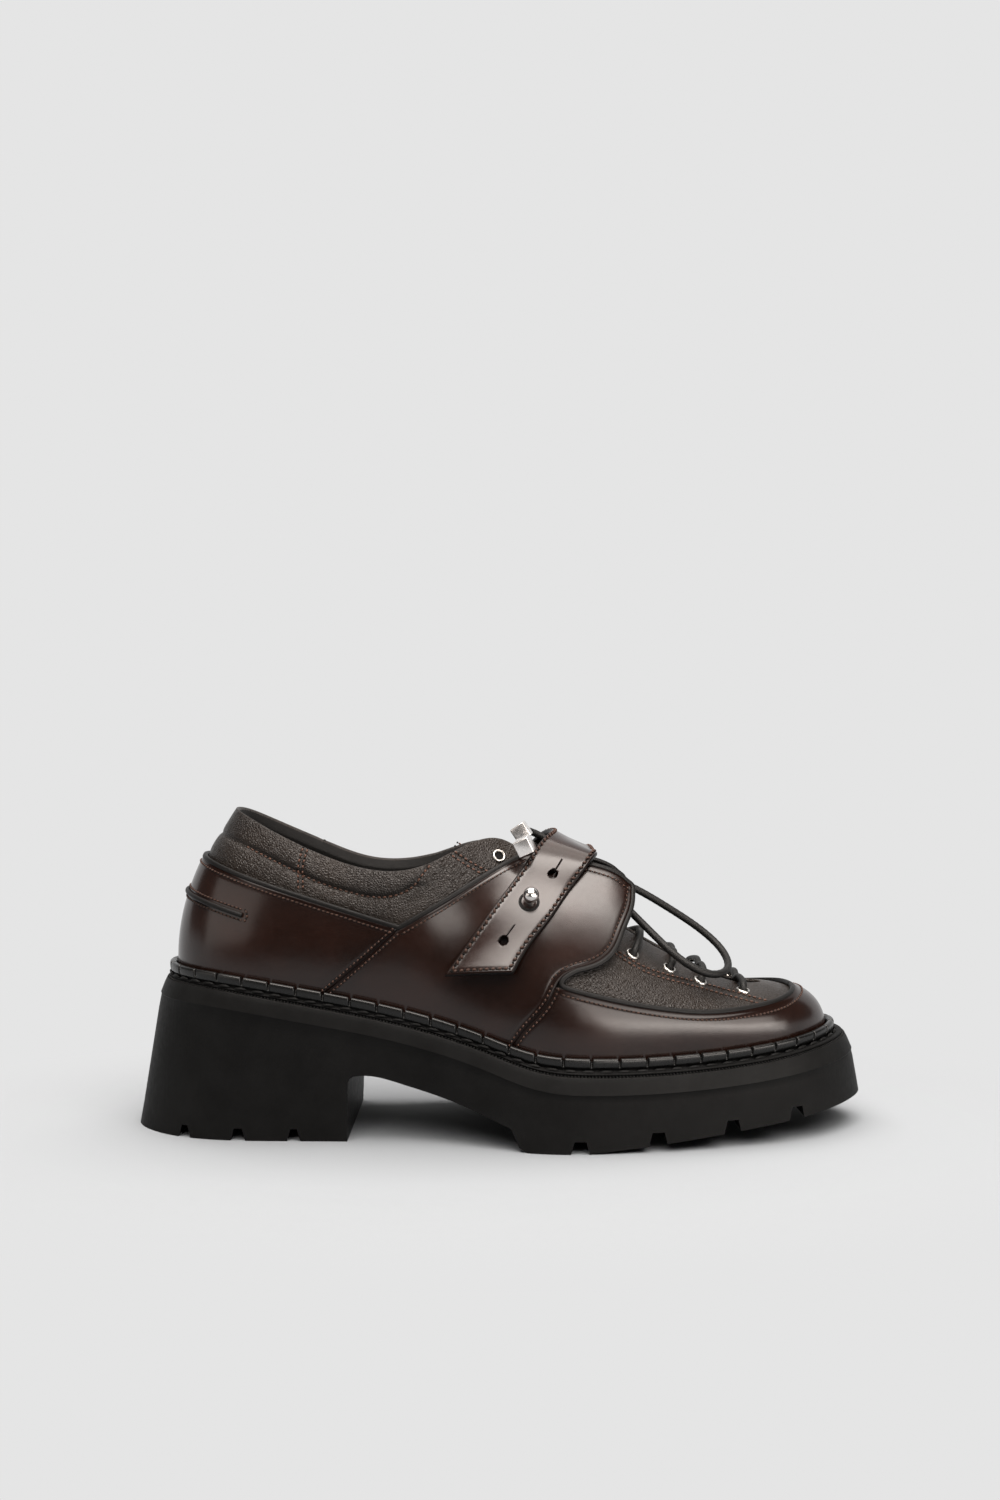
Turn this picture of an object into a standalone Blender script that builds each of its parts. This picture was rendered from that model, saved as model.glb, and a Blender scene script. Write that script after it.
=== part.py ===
"""Creeper shoe: one right shoe on a lugged platform sole with a block heel.

Frame: +X to the toe, +Y to the medial side, +Z up, origin on the floor under the middle of the sole.
Tables and functions are in millimetres on the last's own axes; meshes are made in metres.
"""

import math
from collections import namedtuple

import bmesh
import bpy
import numpy as np
from mathutils import Matrix, Vector

MM = 0.001

# Clearances and leather thicknesses
GAP = 0.3
PANEL_STAND = 0.7
WALL = 2.4
COLLAR_PAD = 2.6
COLLAR_PAD_FRONT_X = 8.0
COLLAR_PAD_BLEND = 20.0
COLLAR_PAD_FROM = 0.55
COLLAR_PAD_OVER = 0.3
PANEL = 1.3
PANEL_FOOT = 0.012
SEAM_HALF = 0.5
STRAP_THICKNESS = 2.2
TONGUE_THICKNESS = 2.0
TONGUE_CROWN = 1.0
TONGUE_LEAN = 0.3
TONGUE_START_X = 4.0
TONGUE_END_X = 94.0
TONGUE_ROWS = (0.80, 0.90, 0.985)
INSOLE_THICKNESS = 3.5
PIPING_RADIUS = 0.85
PIPING_SPACE = PIPING_RADIUS + 3 * GAP
STRAP_STAND = PANEL_STAND + PANEL + 2 * GAP
SHOULDER_STAND = PANEL_STAND + 2 * PIPING_RADIUS + 4 * GAP

# Sole
BEVEL_DROP = 6.0
BEVEL_OUT = 1.2
HEEL_BREAST_X = -57.0
ARCH_HIGH = 25.5
ARCH_SHARES = (0.3, 0.55, 0.8, 1.0)
ARCH_POWER = 1.45
TREAD_START_X = 4.0
TREAD_STEP = 8.4
TREAD_FLAT_X = 30.0
TOE_SPRING = 11.5
TOE_SPRING_POWER = 1.05
TOE_TIP_X = 139.0
NOTCH_DEPTH = 4.6
NOTCH_REACH = 17.0
BELOW_FLOOR = 1.0
CUT_FAR = 160.0

# Welt, as a bead on a flange
WELT_HEIGHT = 6.0
WELT_WIDTH = 2.0
WELT_FLANGE = 2.0
WELT_INSET = 1.2
WELT_SEAT = 0.6
WELT_BULGE = 0.6
WELT_SHOULDER = 0.9
WELT_SIDE = 0.8

# Strap, stud, eyelets and cords
STUD_BALL = 3.0
STUD_NECK_TOP = 2.2
STUD_BALL_LIFT = 0.8
KEYHOLE_RADIUS = 1.9
KEYHOLE_CUT = 4.0
EYELET_HOLE = 1.6
EYELET_RIM = 2.7
EYELET_HEIGHT = 0.8
EYELET_SEAT = 0.55
EYELET_SHOULDER = 0.92
EYELET_MOUTH = 1.15
EYELET_SIDE = 0.7
LACE_RADIUS = 1.35
LACE_CROWN = 0.6
LACE_LEAN = 0.015
CORD_RADIUS = 1.4
CORD_END_SIZE = 6.2
CORD_END_BEVEL = 0.7
CORD_END_ROLL = math.radians(38)

# Mesh counts
STATIONS = 35
END_CROWDING = 0.4
RIB_ROWS = 8
TURN_STEPS = 10
BALL_STEPS = 6
SHARP_ANGLE = math.radians(40)

LATERAL = -1
MEDIAL = 1

Section = namedtuple(
    "Section",
    "name foot_x foot_y ledge tread_x tread_y top_x top_y top_z bulge rise reach pitch",
)

# Ribs round the last, from the heel along the lateral side to the toe and back along the medial side.
# foot: where the rib meets the sole. ledge: how far the sole's top edge stands out from it.
# tread: the outline at the floor. top: the rib's end at the collar or at the throat.
# bulge and rise place the rib's lower handle, reach and pitch (degrees) its upper one.
SECTIONS = (
    Section("heel back", -124.5, 0.0, 6.6, -142.0, 0.0, -103.5, 0.0, 124.0, 2.5, 26, 24, 57),
    Section("heel corner", -118.3, -15.6, 6.6, -132.5, -17.5, -100.0, -11.5, 122.5, 2.5, 26, 22, 62),
    Section("heel side", -105.0, -25.0, 6.6, -115.0, -27.4, -89.0, -20.0, 117.0, 2.8, 26, 20, 70),
    Section("counter", -82.0, -28.8, 6.6, -87.0, -31.2, -70.0, -26.0, 108.3, 3.0, 24, 18, 76),
    Section("heel breast", -56.0, -29.5, 6.4, -57.0, -31.8, -50.0, -28.5, 102.0, 3.4, 22, 17, 80),
    Section("waist", -28.0, -31.0, 6.4, -28.0, -34.8, -26.0, -28.5, 104.3, 3.2, 24, 20, 76),
    Section("waist front", -3.0, -35.0, 7.0, -3.0, -43.0, -1.5, -16.0, 112.6, 3.4, 26, 26, 54),
    Section("ball rear", 18.0, -39.3, 7.8, 18.0, -48.3, 18.0, -11.0, 98.8, 3.5, 30, 30, 32),
    Section("ball", 42.0, -39.7, 7.9, 42.0, -48.0, 44.0, -9.5, 79.2, 4.0, 28, 30, 25),
    Section("joint", 65.0, -36.0, 8.1, 67.0, -44.5, 68.0, -8.0, 65.2, 4.5, 26, 27, 20),
    Section("vamp", 88.5, -29.8, 8.4, 93.0, -38.0, 87.0, -6.5, 56.6, 4.0, 22, 22, 16),
    Section("toe side", 107.5, -21.6, 8.8, 116.5, -29.0, 97.5, -4.5, 54.6, 3.0, 20, 16, 11),
    Section("toe corner", 120.6, -10.6, 9.4, 134.0, -15.5, 101.5, -2.4, 54.4, 1.5, 18, 14, 8),
    Section("toe tip", 127.4, 4.2, 9.6, 145.0, 4.2, 103.0, 0.5, 54.2, 1.0, 15.5, 13, 6),
    Section("toe corner in", 121.2, 18.4, 9.2, 135.5, 23.5, 101.5, 3.2, 54.4, 1.5, 18, 14, 8),
    Section("toe side in", 109.0, 28.6, 8.8, 118.0, 35.5, 97.5, 5.2, 54.6, 3.0, 20, 16, 11),
    Section("vamp in", 91.0, 33.8, 8.2, 95.0, 41.5, 87.0, 7.0, 56.6, 4.0, 22, 22, 16),
    Section("joint in", 67.0, 37.2, 7.8, 68.0, 45.0, 68.0, 8.5, 65.2, 4.5, 26, 27, 20),
    Section("ball in", 43.0, 36.4, 7.6, 44.0, 44.2, 44.0, 10.0, 79.2, 4.0, 28, 30, 25),
    Section("ball rear in", 18.0, 31.4, 7.4, 18.0, 39.5, 18.0, 11.0, 98.8, 3.5, 30, 28, 34),
    Section("waist front in", -5.0, 26.6, 7.0, -5.0, 33.5, -4.0, 17.0, 109.8, 3.5, 26, 24, 58),
    Section("waist in", -30.0, 25.2, 6.6, -30.0, 30.0, -26.0, 25.0, 104.3, 4.5, 24, 20, 78),
    Section("heel breast in", -57.0, 26.0, 6.4, -57.0, 28.5, -50.0, 25.5, 102.0, 5.0, 22, 17, 82),
    Section("counter in", -83.0, 26.8, 6.6, -88.0, 28.8, -70.0, 24.0, 108.3, 4.5, 24, 18, 76),
    Section("heel side in", -105.5, 24.2, 6.8, -115.5, 26.4, -89.0, 19.0, 117.0, 4.0, 26, 20, 70),
    Section("heel corner in", -118.3, 15.2, 6.6, -132.5, 17.2, -100.0, 11.5, 122.5, 3.5, 26, 22, 62),
)
TOE_ROW = [row.name for row in SECTIONS].index("toe tip")

Level = namedtuple("Level", "x z")

# Top face of the sole along the shoe
SOLE_TOP = (
    Level(-133, 57.6), Level(-108, 56.6), Level(-80, 52.4), Level(-50, 46.8), Level(-25, 41.0),
    Level(-4, 34.6), Level(12, 29.4), Level(34, 27.4), Level(70, 28.0), Level(105, 30.6), Level(137, 34.6),
)

# Upper edge of the counter, from the heel to the lowest point of the collar line
COLLAR_LINE = (Level(-117, 105.0), Level(-96, 97.7), Level(-75, 91.2), Level(-56, 85.4), Level(-37.5, 80.0))

# Edge between mudguard and apron, lateral and medial
APRON_LATERAL = (
    Level(20.6, 59.2), Level(29.4, 56.8), Level(44.0, 53.2), Level(58.6, 50.4), Level(74.0, 48.4),
    Level(90.0, 48.1), Level(103.0, 49.1), Level(111.0, 50.6), Level(118.0, 52.9),
)
APRON_MEDIAL = (
    Level(20.6, 59.6), Level(44.0, 53.6), Level(74.0, 49.2), Level(92.0, 48.6), Level(104.0, 49.6),
    Level(111.0, 50.9), Level(118.0, 52.9),
)

# Lines drawn on the side of the upper, seen square on
BACK_SEAM = (Level(-70.0, 51.6), Level(-52.0, 66.8), Level(-38.2, 79.0))
FRONT_SEAM = (Level(3.0, 33.0), Level(8.0, 41.5), Level(18.5, 54.5), Level(20.6, 59.2))
QUARTER_REAR = (Level(-37.5, 80.0), Level(-18.0, 91.2), Level(1.0, 101.8), Level(11.6, 106.2))
WING_TOP = (Level(11.6, 106.2), Level(22.0, 105.0), Level(33.0, 101.8), Level(45.6, 97.2), Level(50.2, 93.0))
WING_FRONT = (
    Level(50.2, 93.0), Level(49.6, 87.0), Level(45.8, 78.5), Level(41.2, 70.0), Level(33.0, 65.4),
    Level(24.5, 62.8), Level(20.6, 59.2),
)
HEEL_LOOP = (Level(-123.0, 91.2), Level(-110.0, 87.6), Level(-96.0, 83.8))

# Fillet between heel breast and arch, from the breast forward and from the arch's top down
Fillet = namedtuple("Fillet", "forward down")
BREAST_FILLET = (Fillet(0.5, 3.0), Fillet(1.5, 1.2), Fillet(4.0, 0.4))

# Rounded rear edge of the forefoot tread: forward of its start, height as a share of the step
TreadEdge = namedtuple("TreadEdge", "forward share")
TREAD_EDGE = (TreadEdge(1.5, 0.6), TreadEdge(3.0, 0.2), TreadEdge(6.0, 0.0))

# Grooves across the edge of the tread: where, and how wide at the floor and at the groove's top
Notch = namedtuple("Notch", "x low high")
NOTCHES = (
    Notch(-119.0, 4.8, 2.2), Notch(-98.0, 5.6, 3.0), Notch(-77.0, 5.0, 2.4), Notch(29.0, 6.8, 4.2),
    Notch(57.5, 6.8, 4.4), Notch(85.5, 6.4, 4.2), Notch(111.0, 6.0, 4.0),
)

# Foot and neck of the ball stud
StudRow = namedtuple("StudRow", "radius height")
STUD_FOOT = (
    StudRow(0.0, GAP), StudRow(2.6, GAP), StudRow(2.6, 0.9), StudRow(1.7, 1.3), StudRow(1.7, STUD_NECK_TOP),
)
STUD_BALL_START = math.radians(-50)

# The wing of each quarter lifts off the vamp between these stations
WING_LIFT = 19.0
WING_LIFT_START_X = -4.0
WING_LIFT_END_X = 46.0
WING_LIFT_FROM = 0.40
WING_LIFT_POWER = 1.7
WING_LIFT_OUT = 0.4

# Strap edges on the side of the shoe, from the free end to the crest
StrapRow = namedtuple("StrapRow", "rear_x rear_z front_x front_z")
STRAP_ROWS = (
    StrapRow(-19.6, 62.8, 6.0, 63.0), StrapRow(-11.0, 74.5, 11.0, 72.6), StrapRow(-1.5, 87.0, 18.6, 82.2),
    StrapRow(7.2, 98.2, 26.4, 92.4),
)
# How much further the rows of the free end stand off the quarter
STRAP_SPRING = (4.8, 1.8, 0.3, 0.0)
STRAP_SHOULDER_X = (13.4, 34.6)
STRAP_CREST = StrapRow(19.8, 115.2, 37.0, 105.6)
STUD_PLACE = Level(11.5, 88.6)
KEYHOLES = (Level(19.6, 98.0), Level(1.6, 75.2))

EYELET_PLACES = (Level(49.9, 68.4), Level(64.1, 62.6), Level(76.1, 57.6), Level(93.4, 53.1))
EAR_EYELET = Level(-0.5, 105.5)

# Elastic cord from the near cord end, under the strap, round the loop and back to the far cord end
CordPoint = namedtuple("CordPoint", "x y z")
CORD_ROUTE = (
    CordPoint(9.9, -24.0, 110.6), CordPoint(10.5, -21.0, 111.0), CordPoint(11.8, -16.0, 110.0),
    CordPoint(14.2, -11.4, 108.0), CordPoint(18.0, -8.2, 105.4), CordPoint(22.4, -7.2, 102.4),
    CordPoint(30.0, -7.6, 98.0),
    CordPoint(41.0, -9.0, 91.8), CordPoint(51.0, -13.2, 83.0), CordPoint(61.0, -20.8, 73.2),
    CordPoint(70.0, -26.6, 65.8), CordPoint(78.5, -26.8, 61.8), CordPoint(85.6, -20.6, 61.6),
    CordPoint(88.2, -12.0, 64.0), CordPoint(86.4, -4.6, 68.4), CordPoint(80.6, -0.8, 74.0),
    CordPoint(69.0, 1.0, 82.0), CordPoint(52.5, 0.6, 91.6), CordPoint(37.0, 0.8, 98.6),
    CordPoint(25.0, 1.8, 105.4), CordPoint(20.8, 2.4, 108.8), CordPoint(17.2, 2.9, 111.2),
    CordPoint(13.6, 2.9, 113.0), CordPoint(10.8, 1.4, 114.0), CordPoint(9.4, -1.2, 114.3),
    CordPoint(8.9, -3.8, 114.2),
)
CORD_POINTS = 46


class Smooth:
    """Curve with even curvature through rows of values: closed when a period is given."""

    def __init__(self, knots, rows, period=None):
        self.knots = np.asarray(knots, float)
        self.rows = np.asarray(rows, float).reshape(len(knots), -1)
        self.period = period
        if period:
            self.knots = np.append(self.knots, self.knots[0] + period)
            self.rows = np.vstack([self.rows, self.rows[:1]])
        self.bend = self.second_derivatives()

    def second_derivatives(self):
        step = np.diff(self.knots)[:, None]
        slope = np.diff(self.rows, axis=0) / step
        count = len(self.knots)
        system = np.zeros((count, count))
        right = np.zeros_like(self.rows)
        for i in range(1, count - 1):
            before, after = step[i - 1, 0], step[i, 0]
            system[i, i - 1: i + 2] = before, 2 * (before + after), after
            right[i] = 6 * (slope[i] - slope[i - 1])
        if self.period:
            before, after = step[-1, 0], step[0, 0]
            system[0, [count - 2, 0, 1]] = before, 2 * (before + after), after
            right[0] = 6 * (slope[0] - slope[-1])
            system[-1, [0, -1]] = 1, -1
        else:
            system[0, 0] = system[-1, -1] = 1
        return np.linalg.solve(system, right)

    def __call__(self, at):
        at = np.asarray(at, float)
        if self.period:
            at = self.knots[0] + np.mod(at - self.knots[0], self.period)
        i = np.clip(np.searchsorted(self.knots, at, side="right") - 1, 0, len(self.knots) - 2)
        step = (self.knots[i + 1] - self.knots[i])[..., None]
        high = (at - self.knots[i])[..., None] / step
        low = 1 - high
        straight = low * self.rows[i] + high * self.rows[i + 1]
        curved = (low ** 3 - low) * self.bend[i] + (high ** 3 - high) * self.bend[i + 1]
        return straight + curved * step ** 2 / 6


def distances(points):
    """Running length along a row of points."""
    return np.concatenate([[0], np.cumsum(np.linalg.norm(np.diff(points, axis=0), axis=1))])


def through(points, count):
    """Even points on the smooth open curve through the given ones."""
    points = np.asarray(points, float)
    along = distances(points)
    return Smooth(along, points)(np.linspace(0, along[-1], count))


def rib_curve():
    """All columns of SECTIONS as one closed curve: u is 0 at the heel, 1 at the toe tip, 2 at the heel."""
    columns = np.array([row[1:] for row in SECTIONS], float)
    feet = np.vstack([columns[:, :2], columns[:1, :2]])
    along = distances(feet)
    lateral = along / along[TOE_ROW]
    medial = 1 + (along - along[TOE_ROW]) / (along[-1] - along[TOE_ROW])
    knots = np.where(along <= along[TOE_ROW], lateral, medial)[:-1]
    return Smooth(knots, columns, period=2.0)


RIBS = rib_curve()
SOLE_TOP_CURVE = Smooth([row.x for row in SOLE_TOP], [row.z for row in SOLE_TOP])
COLUMN = {name: i for i, name in enumerate(Section._fields[1:])}


def column(u, name):
    return RIBS(u)[..., COLUMN[name]]


def sole_top(x):
    return SOLE_TOP_CURVE(np.clip(x, SOLE_TOP[0].x, SOLE_TOP[-1].x))[..., 0]


def smoothstep(value):
    value = np.clip(value, 0, 1)
    return value * value * (3 - 2 * value)


def outward(u):
    """Plan direction that points away from the foot."""
    step = 1e-4
    along = RIBS(np.asarray(u) + step)[..., :2] - RIBS(np.asarray(u) - step)[..., :2]
    normal = np.stack([along[..., 1], -along[..., 0]], axis=-1)
    return normal / np.linalg.norm(normal, axis=-1, keepdims=True)


def rib_point(u, t, lifted):
    """Point on the upper: t is 0 at the sole and 1 at the collar or throat."""
    u, t = np.broadcast_arrays(np.asarray(u, float), np.asarray(t, float))
    row = RIBS(u)
    pick = {name: row[..., i] for name, i in COLUMN.items()}
    away = outward(u)
    pitch = np.radians(pick["pitch"])
    foot = np.stack([pick["foot_x"], pick["foot_y"], sole_top(pick["foot_x"]) + GAP], axis=-1)
    top = np.stack([pick["top_x"], pick["top_y"], pick["top_z"]], axis=-1)
    low = foot.copy()
    low[..., :2] += away * pick["bulge"][..., None]
    low[..., 2] += pick["rise"]
    high = top.copy()
    high[..., :2] += away * (pick["reach"] * np.cos(pitch))[..., None]
    high[..., 2] -= pick["reach"] * np.sin(pitch)
    s = t[..., None]
    point = (1 - s) ** 3 * foot + 3 * (1 - s) ** 2 * s * low + 3 * (1 - s) * s ** 2 * high + s ** 3 * top
    if lifted:
        span = WING_LIFT_END_X - WING_LIFT_START_X
        share = smoothstep((pick["top_x"] - WING_LIFT_START_X) / span)
        height = np.clip((t - WING_LIFT_FROM) / (1 - WING_LIFT_FROM), 0, None) ** WING_LIFT_POWER
        lift = WING_LIFT * share * height
        point = point.copy()
        point[..., 2] += lift
        point[..., 1] += np.sign(away[..., 1]) * WING_LIFT_OUT * lift
    return point


def surface(u, t, offset=0.0, lifted=False):
    """Point on the upper moved outward along its normal."""
    step = 1e-3
    along = rib_point(np.asarray(u) + step, t, lifted) - rib_point(np.asarray(u) - step, t, lifted)
    up = rib_point(u, np.asarray(t) + step, lifted) - rib_point(u, np.asarray(t) - step, lifted)
    normal = np.cross(along, up)
    normal /= np.linalg.norm(normal, axis=-1, keepdims=True)
    return rib_point(u, t, lifted) + normal * np.asarray(offset)[..., None]


def surface_normal(u, t, lifted=False):
    return surface(u, t, 1.0, lifted) - surface(u, t, 0.0, lifted)


def level(u, height_at, lifted=False):
    """The t at which each rib u crosses the line of the given height over x."""
    low = np.zeros_like(u)
    high = np.ones_like(u)
    for _ in range(40):
        middle = (low + high) / 2
        point = rib_point(u, middle, lifted)
        below = point[..., 2] < height_at(point[..., 0])
        low = np.where(below, middle, low)
        high = np.where(below, high, middle)
    return (low + high) / 2


def spots(rows, side, lifted=False):
    """Surface parameters (u, t) of points given as x and z on one side of the shoe."""
    us = np.linspace(0.02, 0.98, 90)
    us = us if side == LATERAL else 2 - us
    ts = np.linspace(0.0, 1.0, 60)
    grid = rib_point(us[:, None], ts[None, :], lifted)[..., [0, 2]]
    found = []
    for target in np.asarray(rows, float):
        i, j = np.unravel_index(np.argmin(np.linalg.norm(grid - target, axis=-1)), grid.shape[:2])
        guess = np.array([us[i], ts[j]])
        for _ in range(12):
            here = rib_point(guess[0], guess[1], lifted)[[0, 2]]
            step = 1e-4
            by_u = (rib_point(guess[0] + step, guess[1], lifted)[[0, 2]] - here) / step
            by_t = (rib_point(guess[0], guess[1] + step, lifted)[[0, 2]] - here) / step
            move = np.linalg.lstsq(np.column_stack([by_u, by_t]), target - here, rcond=None)[0]
            guess += np.clip(move, -0.05, 0.05)
        found.append(guess)
    return np.array(found)


def drawn(rows, side, count, lifted=False):
    """Even points, as (u, t), on a smooth line drawn on one side of the shoe."""
    return spots(through(rows, count), side, lifted)


def outline(u, name_x, name_y, out=0.0):
    """Plan curve from two columns, moved outward."""
    row = RIBS(u)
    plan = np.stack([row[..., COLUMN[name_x]], row[..., COLUMN[name_y]]], axis=-1)
    return plan + outward(u) * np.asarray(out)[..., None]


def tread_height(x):
    """Underside of the forefoot: flat, then rising to the toe."""
    share = max(0.0, (x - TREAD_FLAT_X) / (TOE_TIP_X - TREAD_FLAT_X))
    return TOE_SPRING * share ** TOE_SPRING_POWER


def sole_rings(u):
    """Top edge, foot of the bevel and tread outline of the sole."""
    ledge = outline(u, "foot_x", "foot_y", column(u, "ledge"))
    tread = outline(u, "tread_x", "tread_y")
    top = sole_top(ledge[:, 0])
    share = (BEVEL_DROP / top)[:, None]
    bevel = ledge * (1 - share) + tread * share + outward(u) * BEVEL_OUT
    return np.stack([
        np.column_stack([ledge, top]),
        np.column_stack([bevel, top - BEVEL_DROP]),
        np.column_stack([tread, np.full(len(u), -BELOW_FLOOR)]),
    ])


def plan_middle():
    """Middle of the sole's plan on the last's axes, with the tread where it ends at the underside."""
    ledge, bevel, tread = sole_rings(np.linspace(0, 2, 721))
    low = np.array([tread_height(x) for x in tread[:, 0]])
    share = ((bevel[:, 2] - low) / (bevel[:, 2] - tread[:, 2]))[:, None]
    plan = np.vstack([ledge, bevel, bevel * (1 - share) + tread * share])[:, :2]
    return (plan.min(axis=0) + plan.max(axis=0)) / 2


MIDDLE = np.append(plan_middle(), 0.0)


def metres(points):
    return (np.asarray(points, float) - MIDDLE) * MM


def clear_scene():
    for item in list(bpy.data.objects):
        bpy.data.objects.remove(item, do_unlink=True)


def make_material(name, colour, roughness, metallic=0.0):
    material = bpy.data.materials.new(name)
    material.use_nodes = True
    shader = material.node_tree.nodes["Principled BSDF"]
    shader.inputs["Base Color"].default_value = (*colour, 1.0)
    shader.inputs["Roughness"].default_value = roughness
    shader.inputs["Metallic"].default_value = metallic
    return material


def add_object(name, data, material):
    item = bpy.data.objects.new(name, data)
    bpy.context.scene.collection.objects.link(item)
    if material:
        data.materials.append(material)
    return item


def mesh_object(name, points, faces, material):
    """Closed mesh object from points in millimetres."""
    mesh = bpy.data.meshes.new(name)
    mesh.from_pydata([tuple(p) for p in metres(points)], [], faces)
    work = bmesh.new()
    work.from_mesh(mesh)
    bmesh.ops.recalc_face_normals(work, faces=work.faces[:])
    work.to_mesh(mesh)
    work.free()
    mesh.shade_smooth()
    mesh.set_sharp_from_angle(angle=SHARP_ANGLE)
    return add_object(name, mesh, material)


def cutter(name, points, faces):
    item = mesh_object(name, points, faces, None)
    item.hide_render = True
    item.display_type = "WIRE"
    return item


def cut(item, tool, operation):
    modifier = item.modifiers.new(tool.name, "BOOLEAN")
    modifier.operation = operation
    modifier.object = tool


def ring_stations(count):
    """Stations right round the shoe, in pairs that face each other across it, closer at toe and heel."""
    even = np.linspace(0, 1, count, endpoint=False)
    lateral = even - END_CROWDING * np.sin(math.tau * even) / math.tau
    return np.concatenate([lateral, 1 + lateral])


def tube_solid(name, rings, material):
    """Closed ring solid: rings of points, each joined to the next and the last to the first."""
    levels, count = rings.shape[:2]
    faces = []
    for a in range(levels):
        b = (a + 1) % levels
        for i in range(count):
            j = (i + 1) % count
            faces.append((a * count + i, a * count + j, b * count + j, b * count + i))
    return mesh_object(name, rings.reshape(-1, 3), faces, material)


def capped_solid(name, rings, material):
    """Solid between a first and a last ring, each closed by strips straight across the shoe."""
    levels, count = rings.shape[:2]
    faces = []
    for a in range(levels - 1):
        for i in range(count):
            j = (i + 1) % count
            faces.append((a * count + i, a * count + j, (a + 1) * count + j, (a + 1) * count + i))
    half = count // 2
    for first in (0, (levels - 1) * count):
        for i in range(half):
            across = [i, i + 1, count - i - 1, (count - i) % count]
            strip = list(dict.fromkeys(first + k % count for k in across))
            faces.append(tuple(strip))
    return mesh_object(name, rings.reshape(-1, 3), faces, material)


def slab_solid(name, outer, inner, material):
    """Solid between two four-sided grids of points."""
    rows, columns = outer.shape[:2]
    size = rows * columns
    faces = []
    for i in range(rows - 1):
        for j in range(columns - 1):
            quad = [i * columns + j, (i + 1) * columns + j, (i + 1) * columns + j + 1, i * columns + j + 1]
            faces.append(tuple(quad))
            faces.append(tuple(size + k for k in reversed(quad)))
    rim = list(range(columns))
    rim += [i * columns + columns - 1 for i in range(1, rows)]
    rim += [(rows - 1) * columns + j for j in range(columns - 2, -1, -1)]
    rim += [i * columns for i in range(rows - 2, 0, -1)]
    for a, b in zip(rim, rim[1:] + rim[:1]):
        faces.append((a, b, size + b, size + a))
    return mesh_object(name, np.concatenate([outer.reshape(-1, 3), inner.reshape(-1, 3)]), faces, material)


def cord_object(name, points, radius, resolution, material):
    """Round cord with filled ends along the points."""
    curve = bpy.data.curves.new(name, "CURVE")
    curve.dimensions = "3D"
    curve.bevel_depth = radius * MM
    curve.bevel_resolution = resolution
    curve.use_fill_caps = True
    spline = curve.splines.new("POLY")
    spline.points.add(len(points) - 1)
    for knot, place in zip(spline.points, metres(points)):
        knot.co = (*place, 1.0)
    return add_object(name, curve, material)


def turned_object(name, profile, place, axis, material):
    """Solid turned from a closed profile of (radius, height) about an axis through a place."""
    work = bmesh.new()
    ring = [work.verts.new((radius * MM, 0, height * MM)) for radius, height in profile]
    edges = [work.edges.new((a, b)) for a, b in zip(ring, ring[1:] + ring[:1])]
    bmesh.ops.spin(
        work, geom=ring + edges, cent=(0, 0, 0), axis=(0, 0, 1), angle=math.tau, steps=TURN_STEPS,
    )
    bmesh.ops.remove_doubles(work, verts=work.verts[:], dist=1e-6)
    flat = [face for face in work.faces if face.calc_area() < 1e-12]
    bmesh.ops.delete(work, geom=flat, context="FACES")
    loose = [edge for edge in work.edges if not edge.link_faces]
    bmesh.ops.delete(work, geom=loose, context="EDGES")
    bmesh.ops.recalc_face_normals(work, faces=work.faces[:])
    mesh = bpy.data.meshes.new(name)
    work.to_mesh(mesh)
    work.free()
    mesh.shade_smooth()
    mesh.set_sharp_from_angle(angle=SHARP_ANGLE)
    item = add_object(name, mesh, material)
    item.rotation_euler = Vector((0, 0, 1)).rotation_difference(Vector(axis)).to_euler()
    item.location = metres(place)
    return item


def underside():
    """Side profile of the sole's underside: heel, breast, arch, tread step and toe spring."""
    arch = [(HEEL_BREAST_X + row.forward, ARCH_HIGH - row.down) for row in BREAST_FILLET]
    start_x, start_z = arch[-1]
    for share in ARCH_SHARES:
        drop = (start_z - TREAD_STEP) * share ** ARCH_POWER
        arch.append((start_x + (TREAD_START_X - start_x) * share, start_z - drop))
    tread = [(TREAD_START_X + row.forward, TREAD_STEP * row.share) for row in TREAD_EDGE]
    toe = [(x, tread_height(x)) for x in np.linspace(TREAD_FLAT_X, CUT_FAR, 9)]
    end = [(CUT_FAR, CUT_FAR), (-CUT_FAR, CUT_FAR), (-CUT_FAR, 0.0), (HEEL_BREAST_X, 0.0)]
    return arch + tread + toe + end


def notch_cutter():
    """Grooves across the tread from both sides."""
    points = []
    faces = []
    for x, low, high in NOTCHES:
        floor = tread_height(x)
        for side in (LATERAL, MEDIAL):
            u = spots_on_tread(x, side)
            inner = column(u, "tread_y") - side * NOTCH_REACH
            first = len(points)
            for y in (side * CUT_FAR, float(inner)):
                for half, z in ((low - high / 2, floor - NOTCH_DEPTH), (high / 2, floor + NOTCH_DEPTH)):
                    points += [(x - half, y, z), (x + half, y, z)]
            ring = [(0, 1, 3, 2), (4, 6, 7, 5), (0, 2, 6, 4), (1, 5, 7, 3), (2, 3, 7, 6), (0, 4, 5, 1)]
            faces += [tuple(first + k for k in quad) for quad in ring]
    return cutter("tread_grooves", points, faces)


def spots_on_tread(x, side):
    """Station whose tread outline passes the given x on one side."""
    us = np.linspace(0, 1, 400) if side == LATERAL else np.linspace(1, 2, 400)
    return us[np.argmin(np.abs(column(us, "tread_x") - x))]


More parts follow.
